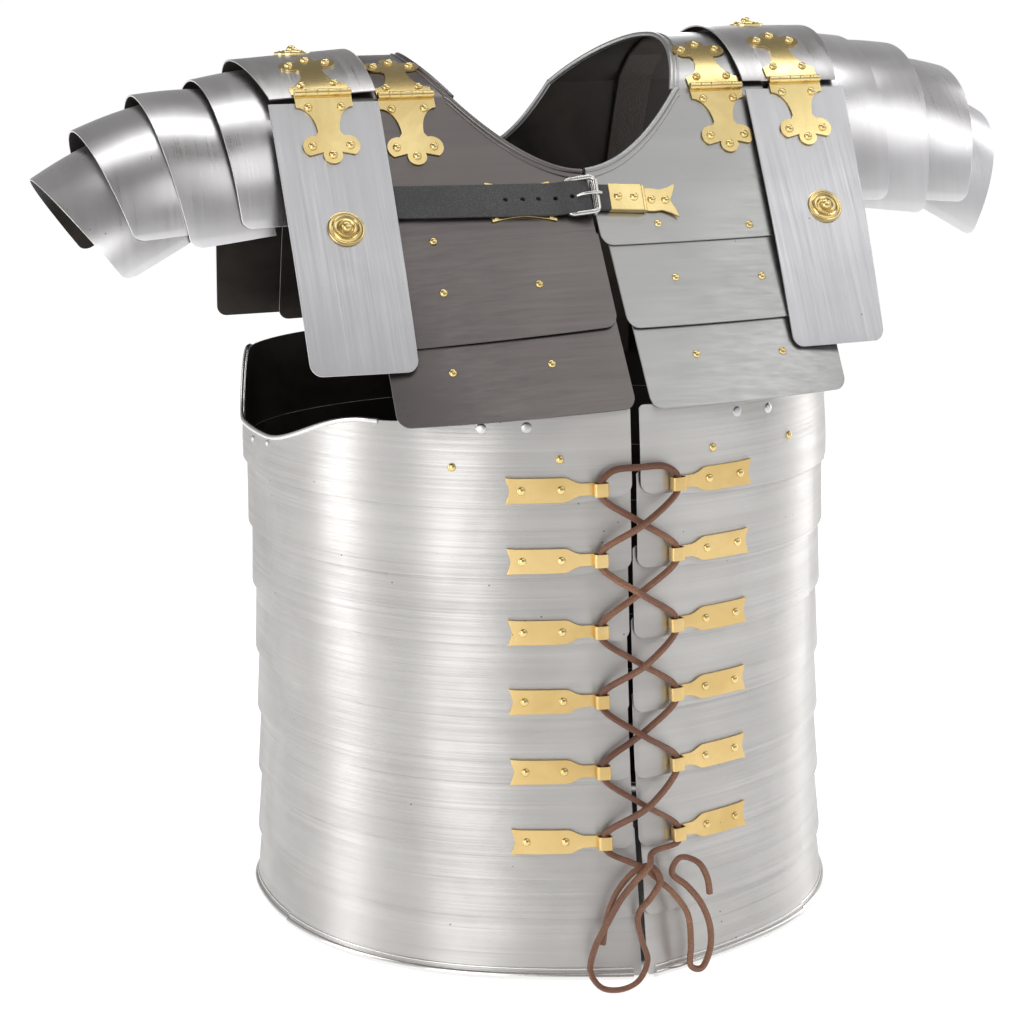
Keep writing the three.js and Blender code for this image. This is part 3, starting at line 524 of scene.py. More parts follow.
@lru_cache(maxsize=None)
def grain_group() -> Tree:
    """Brushed grain: long fine streaks that come and go."""
    group, start, end = new_group("brushed_grain", "Contrast", 1.0, ("Streaks", "Bands"))
    where = start.outputs["Vector"]
    fine = noise(group, where, 1.0, 5.0, Roughness=0.62)
    coarse = add_node(group, "ShaderNodeVectorMath", {0: where, 1: (0.11, 0.11, 0.11)}, operation="MULTIPLY")
    broad = noise(group, coarse.outputs[0], 1.0, 3.0)
    centred = sum_of(group, "SUBTRACT", fine.outputs["Fac"], 0.5)
    strong = sum_of(group, "MULTIPLY", centred, start.outputs["Contrast"])
    streaks = sum_of(group, "ADD", strong, 0.5, clamped=True)
    group.links.new(streaks, end.inputs["Streaks"])
    group.links.new(broad.outputs["Fac"], end.inputs["Bands"])
    return group


def scratch_lines(group: Tree, where: Socket) -> Socket:
    """Thin lines between stretched and slightly bent cells."""
    warp = noise(group, where, 9.0, 2.0)
    bent = add_node(
        group, "ShaderNodeVectorMath", {0: warp.outputs["Color"], 1: (0.05, 0.05, 0.05), 2: where},
        operation="MULTIPLY_ADD",
    )
    turned = add_node(
        group, "ShaderNodeMapping",
        {"Vector": bent.outputs[0], "Rotation": (0.5, 0.9, 0.4), "Scale": (34.0, 260.0, 40.0)},
    )
    edge = cells(group, turned.outputs[0], 0.6, "DISTANCE_TO_EDGE")
    return ramp(group, edge, (0.0, 0.02), (1.0, 0.0))


@lru_cache(maxsize=None)
def wear_group() -> Tree:
    """Hand wear: soft smudges, fine scratches and small pits, each a mask."""
    masks = ("Smudges", "Scratches", "Pits")
    group, start, end = new_group("hand_wear", "Scratch Density", 0.5, masks)
    where = start.outputs["Vector"]
    cloud = noise(group, where, 14.0, 6.0, Roughness=0.6, Distortion=0.6)
    smudges = ramp(group, cloud.outputs["Fac"], (0.35, 0.7))
    patch = noise(group, where, 22.0, 3.0)
    worn = sum_of(group, "GREATER_THAN", patch.outputs["Fac"], start.outputs["Scratch Density"])
    scratches = sum_of(group, "MULTIPLY", scratch_lines(group, where), worn)
    dots = ramp(group, cells(group, where, 120.0), (0.04, 0.09), (1.0, 0.0))
    rare = sum_of(group, "GREATER_THAN", noise(group, where, 31.0, 2.0).outputs["Fac"], 0.62)
    pits = sum_of(group, "MULTIPLY", dots, rare)
    for label, mask in zip(masks, (smudges, scratches, pits)):
        group.links.new(mask, end.inputs[label])
    return group


@dataclass(frozen=True)
class Finish:
    """A surface finish, made into a Blender material once."""

    name: str

    def begin(self) -> tuple[Material, Tree, Node, Socket]:
        """A new material, its tree, its shader and its Object coordinates."""
        material = bpy.data.materials.new(self.name)
        material.use_nodes = True
        tree = material.node_tree
        where = add_node(tree, "ShaderNodeTexCoord").outputs["Object"]
        return material, tree, tree.nodes["Principled BSDF"], where

    @staticmethod
    def wear(tree: Tree, where: Socket, density: float | None = None) -> Node:
        """Places the hand wear, with the density of its scratches where they show."""
        inputs: Sockets = {"Vector": where}
        if density is not None:
            inputs["Scratch Density"] = density
        return add_node(tree, "ShaderNodeGroup", inputs, node_tree=wear_group())

    @staticmethod
    def bump(
        tree: Tree, height: Socket, strength: float, depth: float, below: Socket | None = None,
    ) -> Socket:
        """Adds relief over an earlier normal.

        Args:
            tree: The material's tree.
            height: Output that gives the height.
            strength: Share of the relief.
            depth: Depth in millimetres, negative for marks that are cut in.
            below: Normal of the relief underneath, if any.

        Returns:
            The output that holds the new normal.
        """
        inputs: Sockets = {"Height": height, "Strength": strength, "Distance": abs(depth) * MM}
        if below is not None:
            inputs["Normal"] = below
        return add_node(tree, "ShaderNodeBump", inputs, invert=depth < 0).outputs[0]


def colour_mix(tree: Tree, factor: object, a: object, b: object) -> Socket:
    """Mixes two colours, each given as red, green and blue or as an output.

    Args:
        tree: Tree that the node is added to.
        factor: Share of the second colour, as a number or an output.
        a: First colour.
        b: Second colour.

    Returns:
        The output that holds the mixed colour.
    """
    node = tree.nodes.new("ShaderNodeMix")
    node.data_type = "RGBA"
    colours = [socket for socket in node.inputs if socket.type == "RGBA"]
    if isinstance(factor, Socket):
        tree.links.new(factor, node.inputs[0])
    else:
        node.inputs[0].default_value = factor
    for socket, value in zip(colours, (a, b)):
        if isinstance(value, Socket):
            tree.links.new(value, socket)
        else:
            socket.default_value = (*value, 1.0)
    return [socket for socket in node.outputs if socket.type == "RGBA"][0]


@dataclass(frozen=True)
class BrushedSteel(Finish):
    """Satin steel with brushed grain, smudges, small pits and shallow dents."""

    brushing: Brushing = Brushing.AROUND
    colour: Colour = (0.62, 0.61, 0.60)
    shine: Span = (0.24, 0.42)
    grain_depth: float = 0.16
    dent_depth: float = 0.3
    stretch: float = 0.0  # how far the highlights run along one way
    upright: float = 0.0  # turn of that way: 0 is level, a quarter is upright

    @lru_cache(maxsize=None)
    def material(self) -> Material:
        """Builds the material."""
        material, tree, shader, where = self.begin()
        stretched = add_node(tree, "ShaderNodeMapping", {"Vector": where, "Scale": self.brushing.value})
        brushed: Sockets = {"Vector": stretched.outputs[0], "Contrast": 1.6}
        grain = add_node(tree, "ShaderNodeGroup", brushed, node_tree=grain_group())
        wear = self.wear(tree, where)
        rough = ramp(tree, grain.outputs["Streaks"], (0.2, 0.8), self.shine)
        dull = sum_of(tree, "MULTIPLY_ADD", wear.outputs["Smudges"], 0.09, rough)
        tree.links.new(dull, shader.inputs["Roughness"])
        dark, pale = scaled(self.colour, 0.90), scaled(self.colour, 1.08)
        streaky = colour_mix(tree, grain.outputs["Bands"], dark, pale)
        pitted = colour_mix(tree, wear.outputs["Pits"], streaky, (0.16, 0.14, 0.12))
        tree.links.new(pitted, shader.inputs["Base Color"])
        shader.inputs["Metallic"].default_value = 1.0
        shader.inputs["Anisotropic"].default_value = self.stretch
        shader.inputs["Anisotropic Rotation"].default_value = self.upright
        wave = noise(tree, where, 6.0, 1.0)
        dents = self.bump(tree, wave.outputs["Fac"], self.dent_depth, 3.5)
        lines = self.bump(tree, grain.outputs["Streaks"], self.grain_depth, 0.2, dents)
        tree.links.new(lines, shader.inputs["Normal"])
        return material


@dataclass(frozen=True)
class BlackenedSteel(Finish):
    """Unpolished inner face: brown-black scale with scuffs."""

    @lru_cache(maxsize=None)
    def material(self) -> Material:
        """Builds the material."""
        material, tree, shader, where = self.begin()
        wear = self.wear(tree, where, 0.66)
        scale = colour_mix(tree, wear.outputs["Smudges"], (0.020, 0.017, 0.015), (0.052, 0.043, 0.036))
        scuffed = colour_mix(tree, wear.outputs["Scratches"], scale, (0.09, 0.085, 0.08))
        tree.links.new(scuffed, shader.inputs["Base Color"])
        rough = ramp(tree, wear.outputs["Smudges"], (0.0, 1.0), (0.36, 0.55))
        tree.links.new(rough, shader.inputs["Roughness"])
        shader.inputs["Metallic"].default_value = 0.55
        return material


@dataclass(frozen=True)
class PlatedMetal(Finish):
    """Brass or nickel: bright, a little smudged and hand finished."""

    colour: Colour = (0.80, 0.56, 0.20)
    shade: Colour = (0.60, 0.38, 0.11)
    shine: Span = (0.16, 0.32)

    @lru_cache(maxsize=None)
    def material(self) -> Material:
        """Builds the material."""
        material, tree, shader, where = self.begin()
        wear = self.wear(tree, where, 0.55)
        tone = colour_mix(tree, wear.outputs["Smudges"], self.shade, self.colour)
        marked = colour_mix(tree, wear.outputs["Pits"], tone, scaled(self.shade, 0.4))
        tree.links.new(marked, shader.inputs["Base Color"])
        rough = ramp(tree, wear.outputs["Smudges"], (0.0, 1.0), self.shine[::-1])
        tree.links.new(rough, shader.inputs["Roughness"])
        shader.inputs["Metallic"].default_value = 1.0
        fine = noise(tree, where, 420.0, 2.0)
        rubbed = self.bump(tree, fine.outputs["Fac"], 0.03, 0.3)
        marks = self.bump(tree, wear.outputs["Scratches"], 0.04, -0.1, rubbed)
        tree.links.new(marks, shader.inputs["Normal"])
        return material


@dataclass(frozen=True)
class Leather(Finish):
    """Leather with grain, creases and worn lighter places."""

    colour: Colour = (0.016, 0.017, 0.018)
    worn: Colour = (0.055, 0.055, 0.057)
    roughness: Span = (0.38, 0.62)
    grain: float = 900.0

    @lru_cache(maxsize=None)
    def material(self) -> Material:
        """Builds the material."""
        material, tree, shader, where = self.begin()
        wear = self.wear(tree, where)
        tone = colour_mix(tree, wear.outputs["Smudges"], self.colour, self.worn)
        cell = cells(tree, where, self.grain)
        creased = colour_mix(tree, cell, scaled(self.colour, 0.75), tone)
        tree.links.new(creased, shader.inputs["Base Color"])
        rough = ramp(tree, wear.outputs["Smudges"], (0.0, 1.0), self.roughness)
        tree.links.new(rough, shader.inputs["Roughness"])
        pores = self.bump(tree, cell, 0.35, 0.4)
        fibre = noise(tree, where, 260.0, 4.0)
        soft = self.bump(tree, fibre.outputs["Fac"], 0.3, 0.5, pores)
        tree.links.new(soft, shader.inputs["Normal"])
        return material


AROUND, ACROSS, DOWN = Brushing
TRUNK_STEEL = BrushedSteel("trunk_steel", AROUND, (0.66, 0.645, 0.625), (0.38, 0.52), 0.20, 0.3, 0.9, 0.25)
# One plate steel in two copies: the darker one is painted shade and the lighter one painted light, set by how
# light falls on each side.
SHADED_PLATE_STEEL = BrushedSteel("painted_shade_plate_steel", ACROSS, (0.19, 0.173, 0.168), (0.26, 0.40), 0.10)
LIT_PLATE_STEEL = BrushedSteel("painted_light_plate_steel", ACROSS, (0.44, 0.44, 0.435), (0.28, 0.40), 0.08, 0.2)
GUARD_STEEL = BrushedSteel("guard_steel", DOWN, (0.57, 0.57, 0.585), (0.24, 0.44), 0.06, 0.4)
GUARD_TOP_STEEL = BrushedSteel("guard_top_steel", DOWN, (0.56, 0.55, 0.55), (0.24, 0.36), 0.05, 0.2)
ARM_STEEL = BrushedSteel("arm_steel", DOWN, (0.80, 0.79, 0.80), (0.24, 0.30), 0.0, 0.22)
EDGE_STEEL = BrushedSteel("edge_steel", AROUND, (0.80, 0.79, 0.77), (0.14, 0.24), 0.05, 0.1)
RIVET_STEEL = PlatedMetal("rivet_steel", (0.72, 0.72, 0.72), (0.55, 0.55, 0.55), (0.22, 0.36))
INNER_STEEL = BlackenedSteel("inner_steel")
BRASS = PlatedMetal("brass", (0.90, 0.74, 0.37), (0.70, 0.53, 0.23), (0.15, 0.28))
SATIN_BRASS = PlatedMetal("satin_brass", (0.78, 0.58, 0.27), (0.64, 0.45, 0.18), (0.22, 0.36))
NICKEL = PlatedMetal("nickel", (0.78, 0.77, 0.75), (0.62, 0.61, 0.59), (0.12, 0.24))
BLACK_LEATHER = Leather("black_leather", (0.042, 0.042, 0.043), (0.105, 0.105, 0.105))
LINING_LEATHER = Leather("lining_leather", (0.030, 0.020, 0.014), (0.075, 0.052, 0.036))
LACE_LEATHER = Leather("lace_leather", (0.14, 0.052, 0.028), (0.42, 0.215, 0.125), (0.42, 0.62), 1500.0)


# ------------------------------------------------------------ driving surfaces
@dataclass(frozen=True)
class Trunk:
    """Plan of the trunk: two half superellipses, flared away from the waist."""

    half_width: float = 203.5
    front_depth: float = 213
    back_depth: float = 155
    front_power: float = 2.15
    back_power: float = 2.3
    waist_height: float = 175
    waist_reach: float = 165
    waist_flare: float = 0.022
    flare_top: float = 345
    keel: float = 17
    keel_height: float = 400
    keel_width: float = 110
    overlap: float = 14
    lean: float = 3.6
    lap: float = 7
    corner: float = 7
    rim: float = 3.1  # radius of the rolled lower rim

    def point(self, degrees: float, z: float, offset: float) -> Point:
        """Point outside the trunk, at an angle from the front centre.

        Args:
            degrees: Angle, positive to the wearer's left.
            z: Height.
            offset: Distance outside the plan.

        Returns:
            The point.
        """
        turn = math.radians(degrees)
        s, c = math.sin(turn), math.cos(turn)
        power = self.front_power if c > 0 else self.back_power
        depth = self.front_depth if c > 0 else self.back_depth
        across, along = abs(s) ** (2 / power), abs(c) ** (2 / power)
        from_waist = (min(z, self.flare_top) - self.waist_height) / self.waist_reach
        flare = 1 + self.waist_flare * from_waist**2
        nx, ny = across ** (power - 1) / self.half_width, along ** (power - 1) / depth
        length = math.hypot(nx, ny)
        x = self.half_width * across * flare + offset * nx / length
        y = depth * along * flare + offset * ny / length
        if c > 0:
            y += self.keel * (1 - z / self.keel_height) ** 2 * max(0.0, 1 - x / self.keel_width) ** 2
        return math.copysign(x, s), math.copysign(y, -c), z

    def angle_at(self, x: float) -> float:
        """Angle in degrees at which the front half has this x."""
        share = min(1.0, abs(x) / self.half_width)
        return math.copysign(math.degrees(math.asin(share ** (self.front_power / 2))), x)


@dataclass(frozen=True)
class UpperBody:
    """Chest and back slopes joined by the arch of each shoulder."""

    hinge_y: float = 80
    hinge_z: float = 589
    hem_z: float = 390
    front_slope: float = 0.70
    front_bulge: float = 3
    front_curve: float = 0.00095
    back_slope: float = 0.38
    back_bulge: float = 2
    back_curve: float = 0.0004
    crest: tuple[float, float] = (615.5, 626)  # of the wearer's right and left

    def slope(self, face: Face) -> float:
        """Depth gained for each unit of fall."""
        return self.front_slope if face is Face.FRONT else self.back_slope

    def fall(self, z: float) -> float:
        """Share of the way down from the hinges to the hem."""
        return clamp((self.hinge_z - z) / (self.hinge_z - self.hem_z), 0, 1.2)

    def point(self, face: Face, x: float, z: float, offset: float) -> Point:
        """Point over the chest or the back."""
        front = face is Face.FRONT
        fall, slope = self.fall(z), self.slope(face)
        bulge = (self.front_bulge if front else self.back_bulge) * math.sin(math.pi * min(1, fall))
        curve = (self.front_curve if front else self.back_curve) * fall
        depth = self.hinge_y + slope * (self.hinge_z - z) + bulge - curve * x * x
        length = math.hypot(1, slope)
        return x, face.value * (depth + offset / length), z + offset * slope / length

    def crest_of(self, side: Side) -> float:
        """Height of a side's arch."""
        return self.crest[0] if side is Side.RIGHT else self.crest[1]

    def radius(self, side: Side) -> float:
        """Radius of a side's arch, under its plates."""
        sag = self.crest_of(side) - SHEET - self.hinge_z
        return (self.hinge_y**2 + sag**2) / (2 * sag)

    def arch_end(self, side: Side) -> float:
        """Angle from the crest to the hinge line, in degrees."""
        return math.degrees(math.asin(self.hinge_y / self.radius(side)))

    def arch(self, side: Side, x: float, degrees: float, offset: float) -> Point:
        """Point over a shoulder arch, positive degrees to the back."""
        radius, turn = self.radius(side), math.radians(degrees)
        base = self.crest_of(side) - SHEET - radius
        return x, (radius + offset) * math.sin(turn), base + (radius + offset) * math.cos(turn)


@dataclass(frozen=True)
class Neck:
    """Neck opening: edges on chest, shoulder and back."""

    front_z: float = 538
    back_z: float = 541
    hinge_x: float = 84
    back_hinge_x: float = 46
    rise: float = 1.8
    crest_x: float = 96
    crest_y: float = -15
    front_fall: float = 0.0036
    back_fall: float = 0.0055
    over_hinge: float = 0.6
    roll: float = 2.1
    line: float = 0.9  # radius of the thin line beside the roll
    line_at: float = 4.4

    def height(self, face: Face, x: float) -> float:
        """Height of the edge on the chest or the back."""
        front = face is Face.FRONT
        base = self.front_z if front else self.back_z
        share = clamp(x / self.reach(face), 0, 1)
        return mix(base, BODY.hinge_z + self.over_hinge, share**self.rise)

    def reach(self, face: Face) -> float:
        """Distance from the middle to where the edge meets the shoulder."""
        return self.hinge_x if face is Face.FRONT else self.back_hinge_x

    def rolls(self) -> tuple[Point, Point]:
        """Radius, distance from the edge and offset of the roll and its line."""
        return (self.roll, 0.0, SHEET / 2), (self.line, self.line_at, SHEET)

    def shoulder_x(self, y: float) -> float:
        """Distance of the edge from the middle, on a shoulder plate."""
        fall = self.front_fall if y < self.crest_y else self.back_fall
        return self.crest_x - fall * (y - self.crest_y) ** 2


TRUNK = Trunk()
BODY = UpperBody()
NECK = Neck()


def mirrored(side: Side, point: Point) -> Point:
    """A point drawn for positive X, on its side of the wearer."""
    return side.value * point[0], point[1], point[2]


def on_side(side: Side, place: Place) -> Place:
    """A surface drawn for positive X, on its side of the wearer."""
    return lambda column, row, offset: mirrored(side, place(column, row, offset))


# -------------------------------------------------------------------- fasteners
SUNK = 0.6  # depth of a head's foot under the surface


def revolved(name: str, profile: Sequence[Flat], material: Material, steps: int) -> Piece:
    """A turned piece standing on the origin, in its own axes.

    Args:
        name: Name of the piece.
        profile: Radius and height of its section, from the outside in or the
            bottom up, in millimetres.
        material: Its finish.
        steps: Faces round it.

    Returns:
        The piece, in metres.
    """
    piece = grid_sheet(name, spread(0, 360, steps + 1), lambda _: list(range(len(profile))))
    for vertex in piece.data.vertices:
        radius, height = profile[round(vertex.co.y)]
        turn = math.radians(vertex.co.x)
        vertex.co = Vector((radius * math.cos(turn), radius * math.sin(turn), height)) * MM
    weld(piece, 0.004)
    piece.data.materials.append(material)
    bpy.ops.object.shade_smooth_by_angle(angle=TURNED_CREASE)
    return piece


@dataclass(frozen=True)
class Rivet:
    """A domed rivet head on a surface."""

    radius: float = 2.9
    height: float = 1.9
    finish: Finish = BRASS

    def profile(self) -> list[Flat]:
        """Section of the head, closed underneath."""
        dome = [(self.radius * u, self.height * v) for u, v in arc((0, 0), 1, 0, 72, 5)]
        return [(0, -SUNK), (self.radius, -SUNK), *dome, (0, self.height)]

    def head(self) -> Piece:
        """The head, standing on the origin."""
        return revolved("rivet", self.profile(), self.finish.material(), 20)

    def on(self, place: Place, column: float, row: float, offset: float, side: int = 1) -> Piece:
        """Sets the rivet on a surface.

        Args:
            place: The surface.
            column: Place across it.
            row: Place along it.
            offset: Height of the sheet's outer face.
            side: 1, or -1 for the mirror image of the surface.

        Returns:
            The rivet.
        """
        normal = surface_normal(place, column, row)
        x, y, z = place(column, row, offset)
        normal.x *= side
        return stand_at(self.head(), (side * x, y, z), *axes_from(normal))


BRASS_RIVET = Rivet()
LEAF_RIVET = Rivet(3.0, 2.5)
FLAT_RIVET = Rivet(3.6, 0.9, RIVET_STEEL)
STEEL_RIVET = Rivet(2.4, 1.3, RIVET_STEEL)
SMALL_RIVET = Rivet(1.4, 0.5)


@dataclass(frozen=True)
class Rosette:
    """Turned boss of stepped rings round a knob."""

    radius: float = 12.5
    height: float = 5.6

    def on(self, point: Point, normal: Vector) -> Piece:
        """Sets the boss on a plate."""
        r, h = self.radius, self.height
        rim = [(1.0, 0.0), (1.0, 0.16), (0.94, 0.26), (0.88, 0.26)]
        outer_ring = [(0.84, 0.20), (0.80, 0.20), (0.76, 0.34), (0.70, 0.40), (0.64, 0.34)]
        inner_ring = [(0.60, 0.28), (0.52, 0.28), (0.48, 0.44), (0.42, 0.48), (0.37, 0.42)]
        knob = [(0.34, 0.36), (0.30, 0.40), (0.29, 0.62), (0.25, 0.82), (0.17, 0.95), (0.08, 1.0)]
        rings = [(r * a, h * b) for a, b in rim + outer_ring + inner_ring + knob]
        profile = [(0, -SUNK), (r, -SUNK), *rings, (0, h)]
        boss = revolved("rosette", profile, BRASS.material(), 48)
        return stand_at(boss, point, *axes_from(normal))


@dataclass(frozen=True)
class HingeLeaf:
    """Lobed leaf: a broad root, a narrow waist and three round lobes."""

    root: float = 19.5
    shoulder: float = 8.0
    waist_at: float = 27.5
    waist: float = 7.6
    lobe_at: float = 38.5
    lobe_out: float = 11.3
    lobe: float = 8.1
    rivet_out: float = 12.8
    tip_at: float = 45.5
    tip: float = 6.6
    root_rivet: Flat = (11.3, 8.5)  # out and along
    sheet: float = 1.2

    def half(self) -> list[Flat]:
        """Half of the outline, as distance from the barrel and half width."""
        deep, wide = self.waist_at - self.shoulder, self.root - self.waist
        neck = [(self.waist_at - deep * u, self.root - wide * v) for u, v in arc((0, 0), 1, 0, 90, 9)]
        lobe = [(self.lobe_at - u, self.lobe_out + v) for u, v in arc((0, 0), self.lobe, -12, 150, 12)]
        tip = [(self.tip_at - u, v) for u, v in arc((0, 0), self.tip, 70, 172, 8)]
        return [*neck, *lobe, *tip]

    def build(self, name: str, place: Place, side: Side, start: float = -0.6) -> Piece:
        """Makes the leaf and its five rivets.

        Args:
            name: Name of the piece.
            place: Surface as (half width, distance from the barrel, offset).
            side: Side of the wearer.
            start: Where the root meets the barrel.

        Returns:
            The leaf, joined with its rivets.
        """
        right = [(w, at) for at, w in [(start, self.root), *self.half()]]
        outline = right + [(-w, at) for w, at in reversed(right)]
        leaf = outline_sheet(name, outline, spread(-18, 18, 7), spread(2, 50, 17))
        lay_on(leaf, on_side(side, place), GAP + self.sheet)
        raise_wall(leaf, [BRASS.material()], self.sheet, SOFT)
        root_out, root_at = self.root_rivet
        spots = [(-root_out, root_at), (root_out, root_at)]
        spots += [(-self.rivet_out, self.lobe_at), (self.rivet_out, self.lobe_at), (0, self.tip_at)]
        heads = [LEAF_RIVET.on(place, u, v, GAP + self.sheet, side.value) for u, v in spots]
        return join(name, [leaf, *heads])


@dataclass(frozen=True)
class Barrel:
    """Knuckles of a hinge, turned about X."""

    radius: float = 2.5
    length: float = 39
    knuckles: int = 5
    groove: float = 0.35
    pin_end: tuple[Flat, ...] = ((1.5, 0.0), (1.3, 0.6), (0.0, 0.9))  # radius and distance past the barrel

    def centre(self, side: Side, face: Face, lift: float) -> Point:
        """Middle of the pin over the ridge between arch and slope."""
        end, slope = math.radians(BODY.arch_end(side)), BODY.slope(face)
        away = Vector((math.sin(end), math.cos(end))) + Vector((1, slope)).normalized()
        away = away.normalized() * (lift + SHEET + GAP + self.radius)
        return 0.0, face.value * (BODY.hinge_y + away.x), BODY.hinge_z + away.y

    def build(self, name: str, side: Side, face: Face, x: float, lift: float) -> Piece:
        """Makes the barrel of a hinge.

        Args:
            name: Name of the piece.
            side: Side of the wearer.
            face: Front or back.
            x: Distance of its middle from the middle of the cuirass.
            lift: Height of the plates that it joins, over the collar.

        Returns:
            The barrel.
        """
        step, r, g = self.length / self.knuckles, self.radius, self.groove
        profile: list[Flat] = [(0.0, -self.length / 2)]
        for i in range(self.knuckles):
            low = -self.length / 2 + i * step
            profile += [(r - g, low), (r, low + g), (r, low + step - g), (r - g, low + step)]
        profile += [(u, self.length / 2 + v) for u, v in self.pin_end]
        pin = revolved(name, profile, BRASS.material(), 24)
        _, y, z = self.centre(side, face, lift)
        along, deep, up = Vector((1, 0, 0)), Vector((0, 1, 0)), Vector((0, 0, 1))
        return stand_at(pin, (side.value * x, y, z), deep, up, along)


LEAF = HingeLeaf()
BARREL = Barrel()


# ------------------------------------------------------------------ girth bands
@dataclass(frozen=True)
class BandRow:
    """One girth band: its lower edge, its slit and its two side seams."""

    lower: float
    rise: float
    slit_at: float
    slit: float
    seam_right: float
    seam_left: float


BAND_ROWS = (
    BandRow(329, 7, -1, 6.0, 87, 55),
    BandRow(281, 4, -2, 4.0, 82, 48),
    BandRow(235, 1, -4, 3.2, 81, 47),
    BandRow(185, 0, -5, 3.0, 80, 46),
    BandRow(139, 0, -5, 3.0, 79, 45),
    BandRow(92, 0, -4, 3.2, 78, 44),
    BandRow(44, 0, -2, 3.6, 77, 43),
    BandRow(0, 0, -2, 4.0, 76, 42),
)


@dataclass(frozen=True)
class Armhole:
    """Top edge of the first band, by degrees from the front."""

    front: float = 394
    front_fall: float = 10
    front_reach: float = 150
    bottom: float = 358
    back: float = 404
    fall_from: float = 50
    fall_to: float = 80
    rise_from: float = 96
    rise_to: float = 112
    roll: float = 1.9
    roll_from: float = 47
    roll_to: float = 114
    roll_under: float = 0.6  # depth of its middle under the edge
    roll_out: float = 1.56  # its offset, a little outside the inner sheet

    def height(self, degrees: float, x: float) -> float:
        """Height of the edge."""
        turned = degrees % 360
        d = min(turned, 360 - turned)
        front = self.front - self.front_fall * min(1.0, (x / self.front_reach) ** 2)
        down, up = smooth(self.fall_from, self.fall_to, d), smooth(self.rise_from, self.rise_to, d)
        return mix(mix(front, self.bottom, down), self.back, up)


ARMHOLE = Armhole()
RIM_TUCK = 0.4  # how far the lower rim's roll sits in from its plate


